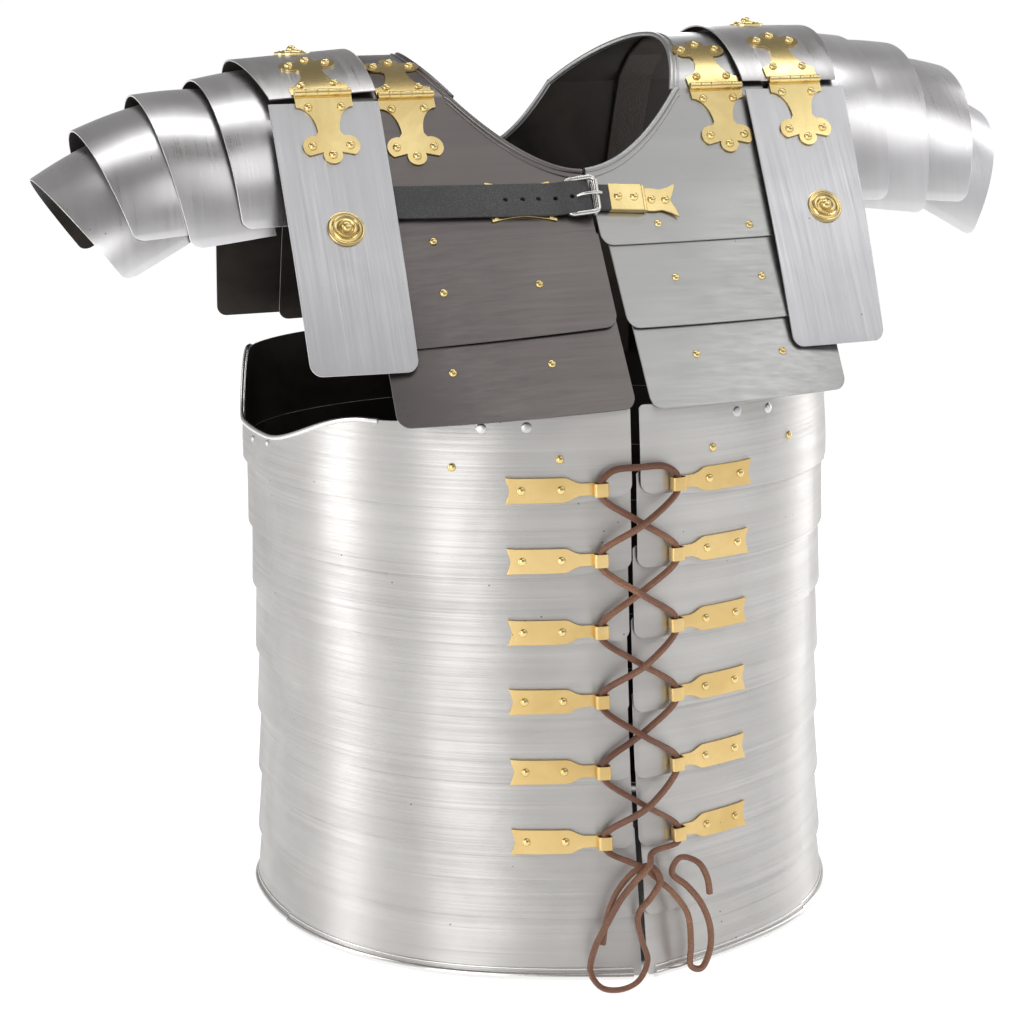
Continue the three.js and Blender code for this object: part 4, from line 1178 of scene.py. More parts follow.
@dataclass
class GirthBand:
    """One band of the trunk: two front plates lapped over one back plate."""

    index: int
    rows: int = 9
    top_height: float = 62  # of the first band, where it would lean from
    slit_reach: float = 120  # how far the slit's rise runs round
    top_corner: float = 3
    line: float = 0.8  # radius of the thin line over the lower rim
    line_gap: float = 2.0
    row: BandRow = field(init=False)

    def __post_init__(self) -> None:
        """Looks its own row up."""
        self.row = BAND_ROWS[self.index]

    @property
    def last(self) -> bool:
        """Whether this is the band that the cuirass stands on."""
        return self.index == len(BAND_ROWS) - 1

    @property
    def nominal_top(self) -> float:
        """Height from which the band leans out."""
        if self.index == 0:
            return self.row.lower + self.top_height
        return BAND_ROWS[self.index - 1].lower + TRUNK.overlap

    def lean(self, z: float) -> float:
        """Offset of the band at a height: every band leans out downward."""
        return TRUNK.lean * (self.nominal_top - z) / (self.nominal_top - self.row.lower)

    def near_slit(self, x: float) -> float:
        """Fall-off of a front-centre feature with distance from the slit."""
        return max(0.0, 1 - abs(x) / self.slit_reach) ** 2

    def place(self, degrees: float, z: float, offset: float) -> Point:
        """Point outside the band."""
        return TRUNK.point(degrees, z, self.lean(z) + offset)

    def heights(self, degrees: float, ends: Sequence[float]) -> list[float]:
        """Rows of the band at an angle.

        Args:
            degrees: Angle of the column.
            ends: Angles of the plate's free ends, whose corners are rounded.

        Returns:
            The heights, from the lower edge up.
        """
        here = TRUNK.point(degrees, self.row.lower, 0)
        away = min((math.dist(here, TRUNK.point(end, self.row.lower, 0)) for end in ends), default=FAR)
        x = here[0] if here[1] < 0 else FAR
        low = self.row.lower + self.row.rise * self.near_slit(x) + corner_inset(TRUNK.corner, away)
        if self.index:
            above = BAND_ROWS[self.index - 1]
            high = above.lower + TRUNK.overlap + above.rise * self.near_slit(x)
        else:
            high = ARMHOLE.height(degrees, x)
        high -= corner_inset(self.top_corner, away)
        if self.last:
            low = max(low, TRUNK.rim)
        return spread(low, high, self.rows)

    def plate(self, name: str, columns: Sequence[float], ends: Sequence[float], offset: float) -> Piece:
        """One plate of the band."""
        sheet = grid_sheet(name, columns, lambda d: self.heights(d, ends))
        lay_on(sheet, self.place, offset)
        return raise_wall(sheet, [TRUNK_STEEL.material(), INNER_STEEL.material()])

    def front_columns(self, side: Side) -> list[float]:
        """Columns of a front plate, from the slit to its side seam."""
        edge = self.row.slit_at + side.value * self.row.slit / 2
        seam = self.row.seam_left if side is Side.LEFT else self.row.seam_right
        steps = [edge + side.value * TRUNK.corner * (1 - math.cos(math.radians(a))) for a in spread(0, 90, 7)]
        steps += [steps[-1] + side.value * gap for gap in (5, 11, 18, 26, 35)]
        near = [TRUNK.angle_at(x) for x in steps]
        return near + spread(near[-1], side.value * seam, 22)[1:]

    def rolled_edge(self, side: Side) -> Piece:
        """Wired edge of the armhole."""
        path = []
        for degrees in spread(ARMHOLE.roll_from, ARMHOLE.roll_to, 60):
            turned = side.value * degrees
            edge = ARMHOLE.height(turned, TRUNK.point(turned, self.row.lower, 0)[0])
            path.append(in_frame(self.place(turned, edge - ARMHOLE.roll_under, ARMHOLE.roll_out)))
        return sweep("armhole_roll", path, round_section(ARMHOLE.roll), EDGE_STEEL.material())

    def rolled_rim(self, turns: Sequence[float], offset: float) -> list[Piece]:
        """Rolled lower rim of one plate, with the thin line above it."""
        rolls = []
        line_z = 2 * TRUNK.rim + self.line_gap
        for radius, z, out in ((TRUNK.rim, TRUNK.rim, offset - RIM_TUCK), (self.line, line_z, offset)):
            path = [in_frame(self.place(d, z, out)) for d in turns]
            rolls.append(sweep("rim_roll", path, round_section(radius), EDGE_STEEL.material()))
        return rolls

    def fastenings(self) -> list[Piece]:
        """Rivets of the first band: in front by x and height, at its side by angle and height."""
        flat = ((-96.5, 382), (-70, 382.5), (74, 382.5), (101, 381))
        domed = ((-113, 356), (-50, 361), (54, 361), (120, 359))
        at_side = ((-86.5, 351), (-79, 353))
        heads = [FLAT_RIVET.on(self.place, TRUNK.angle_at(x), z, 2 * SHEET) for x, z in flat]
        heads += [BRASS_RIVET.on(self.place, TRUNK.angle_at(x), z, 2 * SHEET) for x, z in domed]
        return heads + [STEEL_RIVET.on(self.place, degrees, z, 2 * SHEET) for degrees, z in at_side]

    def build(self) -> None:
        """Makes the band's plates, its rims and its rivets."""
        back_left = self.row.seam_left - TRUNK.lap
        back_right = 360 - self.row.seam_right + TRUNK.lap
        back = spread(back_left, back_right, 110)
        parts = [self.plate("back", back, (), SHEET)]
        if self.last:
            parts += self.rolled_rim(back, SHEET)
        for side in Side:
            columns = self.front_columns(side)
            parts.append(self.plate("front", columns, columns[:1], 2 * SHEET))
            if self.last:
                parts += self.rolled_rim(columns[5:], 2 * SHEET)
        if self.index == 0:
            parts += [self.rolled_edge(side) for side in Side]
            parts += self.fastenings()
        name = f"girth_band_{self.index + 1}"
        finish_piece(join(f"{name}_plates", parts), MAIN_BODY, [name])


# -------------------------------------------------------------------- tie loops
TIE_HEIGHTS = (341, 293, 244, 196, 147, 98)


def squared(share: float) -> float:
    """Moves a share toward 1 or -1, which makes a circle nearly square."""
    return math.copysign(abs(share) ** 0.5, share)


@dataclass(frozen=True)
class TieLoop:
    """Fishtailed brass strip with a rolled eye for the lace."""

    side: Side
    index: int
    outer_x: float = 83
    length: float = 63.6
    eye_from: float = 54.0
    eye_height: float = 9.0
    eye_depth: float = 7.8
    eye_gap: float = 0.4
    eye_wall: float = 1.1
    eye_soft: float = 0.2
    foreshortening: float = 0.975  # change of x for each unit along the bent strip
    sheet: float = 1.2
    rivets: Flat = (9.5, 34.0)

    def place(self, inward: float, up: float, offset: float) -> Point:
        """Point over the strip, for positive X."""
        degrees = TRUNK.angle_at(self.outer_x - inward * self.foreshortening)
        z = TIE_HEIGHTS[self.index] + up
        return GirthBand(self.index).place(degrees, z, 2 * SHEET + offset)

    def in_eye(self, inward: float, up: float, out: float) -> Point:
        """Point of the eye, from its middle, on its side of the wearer."""
        middle = (self.eye_from + self.length) / 2
        offset = GAP + self.eye_gap + self.eye_depth / 2 + out
        return mirrored(self.side, self.place(middle + inward, up, offset))

    def eye_centre(self, up: float = 0.0) -> Point:
        """Middle of the eye, or a point above or below it."""
        return self.in_eye(0.0, up, 0.0)

    def eye(self) -> Piece:
        """The rolled eye: a flattened tube standing upright."""
        half, deep, high = (self.length - self.eye_from) / 2, self.eye_depth / 2, self.eye_height / 2
        ring = [(half * squared(u), deep * squared(v)) for u, v in arc((0, 0), 1, 0, 360, 37)]
        tube = grid_sheet("eye", list(range(len(ring))), lambda _: spread(-high, high, 4))
        for vertex in tube.data.vertices:
            u, n = ring[round(vertex.co.x)]
            vertex.co = in_frame(self.in_eye(u, vertex.co.y, n))
        weld(tube, 0.02)
        return raise_wall(tube, [SATIN_BRASS.material()], self.eye_wall, self.eye_soft)

    def build(self) -> None:
        """Makes the strip, its eye and its two rivets."""
        fishtail = [(2.6, 0), (1.6, 4.0), (0, 8.9), (5, 8.4)]
        shoulder = [(20, 8.3), (36, 8.2), (38.5, 7.6), (43, 5.2), (46, 4.2), (self.eye_from + 2, 4.0)]
        upper = fishtail + shoulder
        outline = upper + [(u, -v) for u, v in reversed(upper[1:])]
        strip = outline_sheet("strip", list(reversed(outline)), spread(2, 54, 14))
        lay_on(strip, on_side(self.side, self.place), GAP + self.sheet)
        raise_wall(strip, [SATIN_BRASS.material()], self.sheet, SOFT)
        heads = [BRASS_RIVET.on(self.place, u, 0, GAP + self.sheet, self.side.value) for u in self.rivets]
        node = f"tie_loop_{self.side.word}_{self.index + 1}"
        finish_piece(join(f"{node}_brass", [strip, self.eye(), *heads]), MAIN_BODY, [node])


# ---------------------------------------------------------- collar plates
Edge = tuple[float, float]  # height at the middle and its change with x


@dataclass(frozen=True)
class CollarPlate:
    """A plate over the chest or the back."""

    part: str
    side: Side
    face: Face
    inner_x: float
    outer_x: float
    low: Edge
    high: Edge | None  # None is the neck's edge
    lift_top: float
    lift_low: float
    rivets: tuple[Flat, ...] = ()

    def high_at(self, x: float) -> float:
        """Height of the upper edge."""
        return NECK.height(self.face, x) if self.high is None else self.high[0] + self.high[1] * x

    def low_at(self, x: float) -> float:
        """Height of the lower edge."""
        return self.low[0] + self.low[1] * x

    def lift(self, z: float) -> float:
        """Offset of the inner face at a height."""
        high, low = self.high_at(self.outer_x), self.low_at(self.outer_x)
        return mix(self.lift_top, self.lift_low, clamp((high - z) / (high - low), 0, 1))

    def place(self, x: float, z: float, offset: float) -> Point:
        """Point over the plate, for positive X."""
        return BODY.point(self.face, x, z, self.lift(z) + offset)

    def neck_roll(self) -> list[Piece]:
        """Rolled edge of the neck with the thin line beside it."""
        rolls = []
        for radius, below, offset in NECK.rolls():
            path = []
            for x in spread(self.inner_x, NECK.reach(self.face) + 1, 40):
                path.append(in_frame(mirrored(self.side, self.place(x, self.high_at(x) - below, offset))))
            rolls.append(sweep("neck_roll", path, round_section(radius), self.steel().material()))
        return rolls

    def steel(self) -> BrushedSteel:
        """Finish of the plate's side: one steel in two copies, with painted shade on the wearer's right front
        plates and painted light on the back and left ones.
        """
        if self.face is Face.BACK or self.side is Side.LEFT:
            return LIT_PLATE_STEEL
        return SHADED_PLATE_STEEL

    def build(self) -> None:
        """Makes the plate with its roll and its rivets."""
        columns = rounded_columns(self.inner_x, self.outer_x, 30, CORNER)

        def heights(x: float) -> list[float]:
            """Rows at a place in x."""
            inset = corner_inset(CORNER, min(x - self.inner_x, self.outer_x - x))
            top = 0.0 if self.high is None else inset * 0.5
            return spread(self.low_at(x) + inset, self.high_at(x) - top, 14)

        node = f"{self.part}_{self.side.word}"
        sheet = grid_sheet(node, columns, heights)
        lay_on(sheet, on_side(self.side, self.place), SHEET)
        parts = [raise_wall(sheet, [self.steel().material(), INNER_STEEL.material()])]
        for x, z in self.rivets:
            parts.append(BRASS_RIVET.on(self.place, x, z, SHEET, self.side.value))
        if self.high is None:
            parts += self.neck_roll()
        finish_piece(join(f"{node}_plate", parts), MAIN_BODY, [node])


def collar_plates() -> list[CollarPlate]:
    """The five plates of each side that hang from the shoulder hinges.

    Returns:
        The plates. On the wearer's right the middle one lies over both others;
        on the left each upper plate lies over the one below.
    """
    right, left, front, back = Side.RIGHT, Side.LEFT, Face.FRONT, Face.BACK
    top_rivets = ((113, 498), (45, 502))
    mid_rivets = ((113.5, 465), (48.7, 468))
    low_rivets = ((116.5, 417), (51, 420))
    back_top_rivets = ((110, 497), (45, 497))
    back_low_rivets = ((110, 424), (45, 424))
    plates = [
        CollarPlate("breast_top", right, front, 0.2, 150, (488, 0), None, 0, 0, top_rivets[:1]),
        CollarPlate("breast_mid", right, front, 0.2, 158, (440, -0.06), (500, -0.06), 2.9, 2.9, mid_rivets),
        CollarPlate("breast_low", right, front, 0.2, 157, (390, -0.04), (452, -0.04), 0, 4, low_rivets),
        CollarPlate("breast_top", left, front, 1.6, 150, (490, 0), None, 0, 2.1, top_rivets),
        CollarPlate("breast_mid", left, front, 6.5, 158, (438, 0), (502, 0), 0, 3, mid_rivets),
        CollarPlate("breast_low", left, front, 10, 162, (388.5, 0), (450, 0), 0, 4, low_rivets),
    ]
    for side in Side:
        plates += [
            CollarPlate("back_top", side, back, 1.5, 150, (488, 0), None, 0, 2.1, back_top_rivets),
            CollarPlate("back_low", side, back, 1.5, 156, (412, 0), (500, 0), 0, 0, back_low_rivets),
        ]
    return plates


@dataclass(frozen=True)
class ShoulderPlate:
    """Arched plate over the shoulder, between its two collar hinges."""

    side: Side
    outer_x: float = 150
    past_hinge: float = 0.4  # in degrees, under both barrels

    def place(self, across: float, degrees: float, offset: float) -> Point:
        """Point over the plate, across from 0 at the neck to 1 outside."""
        inner = NECK.shoulder_x(BODY.arch(self.side, 0, degrees, 0)[1])
        return BODY.arch(self.side, mix(inner, self.outer_x, across), degrees, offset)

    def build(self) -> None:
        """Makes the plate and the neck's roll along it."""
        end = BODY.arch_end(self.side) + self.past_hinge
        sheet = grid_sheet("shoulder", spread(0, 1, 14), lambda _: spread(-end, end, 41))
        lay_on(sheet, on_side(self.side, self.place), SHEET)
        # Painted shade: the right shoulder takes the darker copy of the plate steel, and the left one the
        # lighter copy.
        finish = SHADED_PLATE_STEEL if self.side is Side.RIGHT else LIT_PLATE_STEEL
        parts = [raise_wall(sheet, [finish.material(), INNER_STEEL.material()])]
        for radius, across, offset in NECK.rolls():
            path = []
            for degrees in spread(-end, end, 60):
                x, y, z = self.place(0, degrees, offset)
                path.append(in_frame(mirrored(self.side, (x + across, y, z))))
            parts.append(sweep("neck_roll", path, round_section(radius), finish.material()))
        node = f"shoulder_{self.side.word}"
        finish_piece(join(f"{node}_plate", parts), MAIN_BODY, [node])


@dataclass(frozen=True)
class CollarHinge:
    """Hinge between a shoulder plate and the top breast or back plate."""

    side: Side
    face: Face
    x: float = 113

    def down(self, plate: CollarPlate) -> Place:
        """Surface below the barrel: (half width, distance, offset)."""
        slope = math.hypot(1, BODY.slope(self.face))
        return lambda u, v, n: plate.place(self.x + u, BODY.hinge_z - (v + 1) / slope, SHEET + n)

    def up(self) -> Place:
        """Surface above the barrel."""
        radius, end = BODY.radius(self.side), BODY.arch_end(self.side)

        def place(u: float, v: float, offset: float) -> Point:
            """Point over the shoulder plate."""
            turn = end - math.degrees((v + 1) / radius)
            return BODY.arch(self.side, self.x + u, self.face.value * turn, SHEET + offset)

        return place

    def build(self, plate: CollarPlate) -> None:
        """Makes both leaves and the barrel."""
        parts = [LEAF.build("lower", self.down(plate), self.side)]
        parts.append(LEAF.build("upper", self.up(), self.side))
        parts.append(BARREL.build("barrel", self.side, self.face, self.x, 0))
        node = f"collar_hinge_{self.face.word}_{self.side.word}"
        finish_piece(join(f"{node}_brass", parts), MAIN_BODY, [node])


# --------------------------------------------------------------- upper guards
@dataclass(frozen=True)
class Guard:
    """Hinged guard of one shoulder: a middle arch and two long plates."""

    side: Side
    inner_x: float = 133.4
    outer_x: float = 209
    low_x: float = 203
    front_low: float = 417
    back_low: float = 415
    follow: float = 0.35
    rim_x: float = 206
    rim_bulge: float = 9
    lift: float = 5.0
    bulge: float = 1.5  # of the long plates, over their own lift
    hinge_x: float = 171.5
    hinge_gap: float = 4.0  # from the hinge line down to a long plate
    middle_gap: float = 0.9  # in degrees, from the hinge line to the middle plate
    leaf_gap: float = 4.2
    leaf_sink: float = 0.3
    leaf_start: float = -2.5
    rosette_z: float = 505

    @property
    def rim_drop(self) -> float:
        """Fall of the outer rim."""
        return 5.5 if self.side is Side.RIGHT else 1.5

    @property
    def sway(self) -> float:
        """Slant of the long front plate."""
        return 6.0 if self.side is Side.RIGHT else -7.0

    @property
    def middle_end(self) -> float:
        """Angle from the crest to an end of the middle plate."""
        return BODY.arch_end(self.side) - self.middle_gap

    @property
    def long_top(self) -> float:
        """Height of the upper edge of the long plates."""
        return BODY.hinge_z - self.hinge_gap

    def low(self, face: Face) -> float:
        """Height of the lower edge of a long plate."""
        return self.front_low if face is Face.FRONT else self.back_low

    def lift_at(self, x: float) -> float:
        """Height of the middle plate over the arch."""
        reach = self.rim_x + self.rim_bulge - self.inner_x
        return self.lift - self.rim_drop * clamp((x - self.inner_x) / reach, 0, 1)

    def middle_place(self, across: float, degrees: float, offset: float) -> Point:
        """Point over the middle plate, across from 0 to 1."""
        outer = self.rim_x + self.rim_bulge * math.cos(math.pi / 2 * degrees / self.middle_end)
        x = mix(self.inner_x, outer, across)
        return BODY.arch(self.side, x, degrees, self.lift_at(x) + offset)

    def long_point(self, face: Face, x: float, z: float, offset: float) -> Point:
        """Point over a long plate, which is flatter than the collar."""
        lift = self.lift + self.bulge * math.sin(math.pi * min(1, BODY.fall(z)))
        _, y, height = BODY.point(face, mix(self.inner_x, x, self.follow), z, lift + offset)
        return x, y, height

    def long_place(self, face: Face) -> Place:
        """Surface of a long plate: (share across, height, offset)."""
        sway = self.sway if face is Face.FRONT else 0.0

        def place(across: float, z: float, offset: float) -> Point:
            """Point over the plate."""
            t = (self.long_top - z) / (self.long_top - self.low(face))
            x = mix(self.inner_x - t, mix(self.outer_x, self.low_x, t), across) + sway * t
            return self.long_point(face, x, z, offset)

        return place

    def leaf_down(self, face: Face) -> Place:
        """Surface of the lower leaf, on a long plate."""
        slope = math.hypot(1, BODY.slope(face))

        def place(u: float, v: float, offset: float) -> Point:
            """Point over the leaf."""
            z = BODY.hinge_z - (v + 1) / slope
            return self.long_point(face, self.hinge_x + u, z, SHEET + offset)

        return place

    def leaf_up(self, face: Face) -> Place:
        """Surface of the upper leaf, on the middle plate."""
        radius, end = BODY.radius(self.side), BODY.arch_end(self.side)

        def place(u: float, v: float, offset: float) -> Point:
            """Point over the leaf."""
            x, turn = self.hinge_x + u, end - math.degrees((v + self.leaf_gap) / radius)
            lift = self.lift_at(x) + SHEET - self.leaf_sink
            return BODY.arch(self.side, x, face.value * turn, lift + offset)

        return place

    def build_middle(self) -> None:
        """Makes the middle plate, its boss and its two fixed leaves."""
        end = self.middle_end
        sheet = grid_sheet("middle", spread(0, 1, 14), lambda _: spread(-end, end, 49))
        lay_on(sheet, on_side(self.side, self.middle_place), SHEET)
        steel = [GUARD_TOP_STEEL.material(), INNER_STEEL.material()]
        parts = [raise_wall(sheet, steel, SHEET, GUARD_SOFT)]
        crest = BODY.arch(self.side, self.hinge_x, 0, self.lift_at(self.hinge_x) + SHEET)
        parts.append(Rosette().on(mirrored(self.side, crest), Vector((0, 0, 1))))
        parts += [LEAF.build("leaf", self.leaf_up(face), self.side) for face in Face]
        node = f"guard_middle_{self.side.word}"
        finish_piece(join(f"{node}_plate", parts), MAIN_BODY, [node])

    def build_long(self, face: Face) -> None:
        """Makes a long plate with its boss, and its leaf with the barrel."""
        width = self.outer_x - self.inner_x

        def heights(across: float) -> list[float]:
            """Rows at a share of the width."""
            inset = corner_inset(CORNER, min(across, 1 - across) * width)
            return spread(self.low(face) + inset, self.long_top, 26)

        columns = [x / width for x in rounded_columns(0, width, 12, CORNER)]
        sheet = grid_sheet("long", columns, heights)
        lay_on(sheet, on_side(self.side, self.long_place(face)), SHEET)
        plate = raise_wall(sheet, [GUARD_STEEL.material(), INNER_STEEL.material()], SHEET, GUARD_SOFT)
        spot = self.long_point(face, self.hinge_x, self.rosette_z, SHEET)
        normal = Vector((0, face.value, BODY.slope(face))).normalized()
        boss = Rosette().on(mirrored(self.side, spot), normal)
        body = f"guard_{face.word}_{self.side.word}"
        finish_piece(join(f"{body}_plate", [plate, boss]), body, [body])
        leaf = LEAF.build("leaf", self.leaf_down(face), self.side, self.leaf_start)
        pin = BARREL.build("barrel", self.side, face, self.hinge_x, self.lift)
        hinge = f"guard_hinge_{face.word}_{self.side.word}"
        finish_piece(join(f"{hinge}_brass", [leaf, pin]), body, [hinge])


# ------------------------------------------------------------------ arm plates
@dataclass(frozen=True)
class ArmRow:
    """One arm plate: its outer rim and its tucked inner edge.

    Each edge has a crest (x, z for the wearer's right and left) and a lower
    corner (x, y, z).
    """

    rim_x: float
    rim_z: tuple[float, float]
    corner: Point
    tuck_x: float
    tuck_z: tuple[float, float]
    tuck_corner: Point


ARM_ROWS = (
    ArmRow(243, (602, 621.5), (234, 112, 509), 187, (609, 624), (183, 110, 511)),
    ArmRow(285, (593, 615), (267, 105, 497), 229, (595.5, 618), (211, 108.3, 504)),
    ArmRow(326, (570, 598), (303, 99.5, 503), 273, (587.5, 607), (250, 100.5, 508)),
    ArmRow(356, (538, 565), (310, 96, 477), 306, (564, 588), (263, 98, 503)),
)


@dataclass(frozen=True)
class ArmPlate:
    """Arched plate of the upper arm."""

    side: Side
    index: int
    back_share: float = 0.93  # reach behind, as a share of that in front
    depth: float = 112  # reach in front
    width: float = 56
    crown: float = 1.2

    def point(self, turn: float, across: float, inward: float) -> Point:
        """Point of the plate.

        Args:
            turn: From the back corner at -1 to the front corner at 1.
            across: From the tucked edge at 0 to the outer rim at 1.
            inward: Depth under the outer face.

        Returns:
            The point, for positive X.
        """
        row, k = ARM_ROWS[self.index], 0 if self.side is Side.RIGHT else 1
        s, c = math.sin(turn * math.pi / 2), math.cos(turn * math.pi / 2)
        reach = -s * (self.back_share if s < 0 else 1)

        def edge(crest_x: float, crest_z: float, corner: Point) -> Vector:
            """Point of an edge at this turn."""
            return Vector((mix(corner[0], crest_x, c), corner[1] * reach, mix(corner[2], crest_z, c)))

        tuck = edge(row.tuck_x, row.tuck_z[k], row.tuck_corner)
        rim = edge(row.rim_x, row.rim_z[k], row.corner)
        point = tuck.lerp(rim, across)
        fallen = (rim.z - tuck.z) / math.hypot(rim.x - tuck.x, rim.z - tuck.z)
        normal = Vector((-c * fallen, -s, c * math.sqrt(1 - fallen**2))).normalized()
        point += normal * (self.crown * math.sin(math.pi * clamp(across, 0, 1)) - inward)
        return point.x, point.y, point.z

    def build(self) -> None:
        """Makes the plate."""
        leg = self.depth * math.pi / 2
        turns = [x / leg - 1 for x in rounded_columns(0, 2 * leg, 44, CORNER)]

        def shares(turn: float) -> list[float]:
            """Rows at a turn: the rim's corners are rounded."""
            return spread(0, 1 - corner_inset(CORNER, (1 - abs(turn)) * leg) / self.width, 12)

        node = f"lesser_guard_{self.side.word}_{self.index + 1}"
        sheet = grid_sheet(node, turns, shares)
        lay_on(sheet, lambda u, v, n: mirrored(self.side, self.point(u, v, -n)), 0)
        raise_wall(sheet, [ARM_STEEL.material(), INNER_STEEL.material()], SHEET, GUARD_SOFT)
        finish_piece(named(sheet, f"{node}_plate"), MAIN_BODY, [node])


# ------------------------------------------------------- chest strap and buckle
LEATHER_SOFT = 0.7
PUNCH = 9.0  # length of the punch that cuts the strap's holes


@dataclass(frozen=True)
class ChestStrap:
    """Leather strap across the chest, and the brass fitting that shows under it."""

    z: float = 521.5
    width: float = 20
    thickness: float = 2.4
    start: float = -140
    end: float = -0.5
    lift: float = 2.1
    over_bar: float = 4.6  # rise over the buckle's bar
    rise: Span = (-26, -15)  # where along the strap it rises
    holes: tuple[float, ...] = (-60, -48, -37, -25, -14)
    hole: float = 1.7
    fall: float = 0.017  # for each unit along the strap
    fitting: Span = (-71, -26)
    fitting_half: float = 12.5
    fitting_waist: float = 3.0
    fitting_rivets: Span = (-67.5, -29.5)
    fitting_rivet_up: float = -9.9
    sheet: float = 1.2

    def place(self, x: float, up: float, offset: float) -> Point:
        """Point over the chest along the strap."""
        _, y, z = BODY.point(Face.FRONT, abs(x), self.z - self.fall * (x - self.start) + up, offset)
        return x, y, z

    def strap_lift(self, x: float) -> float:
        """Offset of the strap's underside: it rises over the buckle's bar."""
        return SHEET + mix(self.lift, self.over_bar, smooth(*self.rise, x))

    def build_strap(self) -> None:
        """Makes the strap and punches its holes."""
        half = self.width / 2
        columns = spread(self.start, self.end - 3, 50) + [self.end - 1.2, self.end]
        sheet = grid_sheet("strap", columns, lambda _: spread(-half, half, 7))
        lay_on(sheet, lambda x, up, n: self.place(x, up, self.strap_lift(x) + n), self.thickness)
        strap = raise_wall(sheet, [BLACK_LEATHER.material()], self.thickness, LEATHER_SOFT)
        cutters = []
        for x in self.holes:
            clear_selection()
            bpy.ops.mesh.primitive_cylinder_add(vertices=20, radius=self.hole * MM, depth=PUNCH * MM)
            cutter = bpy.context.object
            normal = surface_normal(self.place, x, 0)
            cutters.append(stand_at(cutter, self.place(x, 0, self.strap_lift(x) + 1), *axes_from(normal)))
        punch = join("punch", cutters)
        take_up(strap)
        cut = strap.modifiers.new("holes", "BOOLEAN")
        cut.object = punch
        cut.solver = "EXACT"
        bpy.ops.object.modifier_apply(modifier=cut.name)
        bpy.data.objects.remove(punch, do_unlink=True)
        finish_piece(named(strap, "chest_strap_leather"), MAIN_BODY, ["chest_strap"])

    def build_fitting(self) -> None:
        """Makes the thin brass strip that shows under the strap."""
        start, end = self.fitting

        def heights(x: float) -> list[float]:
            """Rows: the strip is broader at both ends."""
            along = clamp((x - start) / (end - start), 0, 1)
            half = self.fitting_half - self.fitting_waist * math.sin(math.pi * along)
            return spread(-half, half, 6)

        sheet = grid_sheet("fitting", spread(start, end, 24), heights)
        lay_on(sheet, lambda x, up, n: self.place(x, up, SHEET + GAP + n), self.sheet)
        strip = raise_wall(sheet, [BRASS.material()], self.sheet, SOFT)
        top, up = SHEET + GAP + self.sheet, self.fitting_rivet_up
        heads = [SMALL_RIVET.on(self.place, x, up, top) for x in self.fitting_rivets]
        finish_piece(join("strap_fitting_brass", [strip, *heads]), MAIN_BODY, ["strap_fitting"])


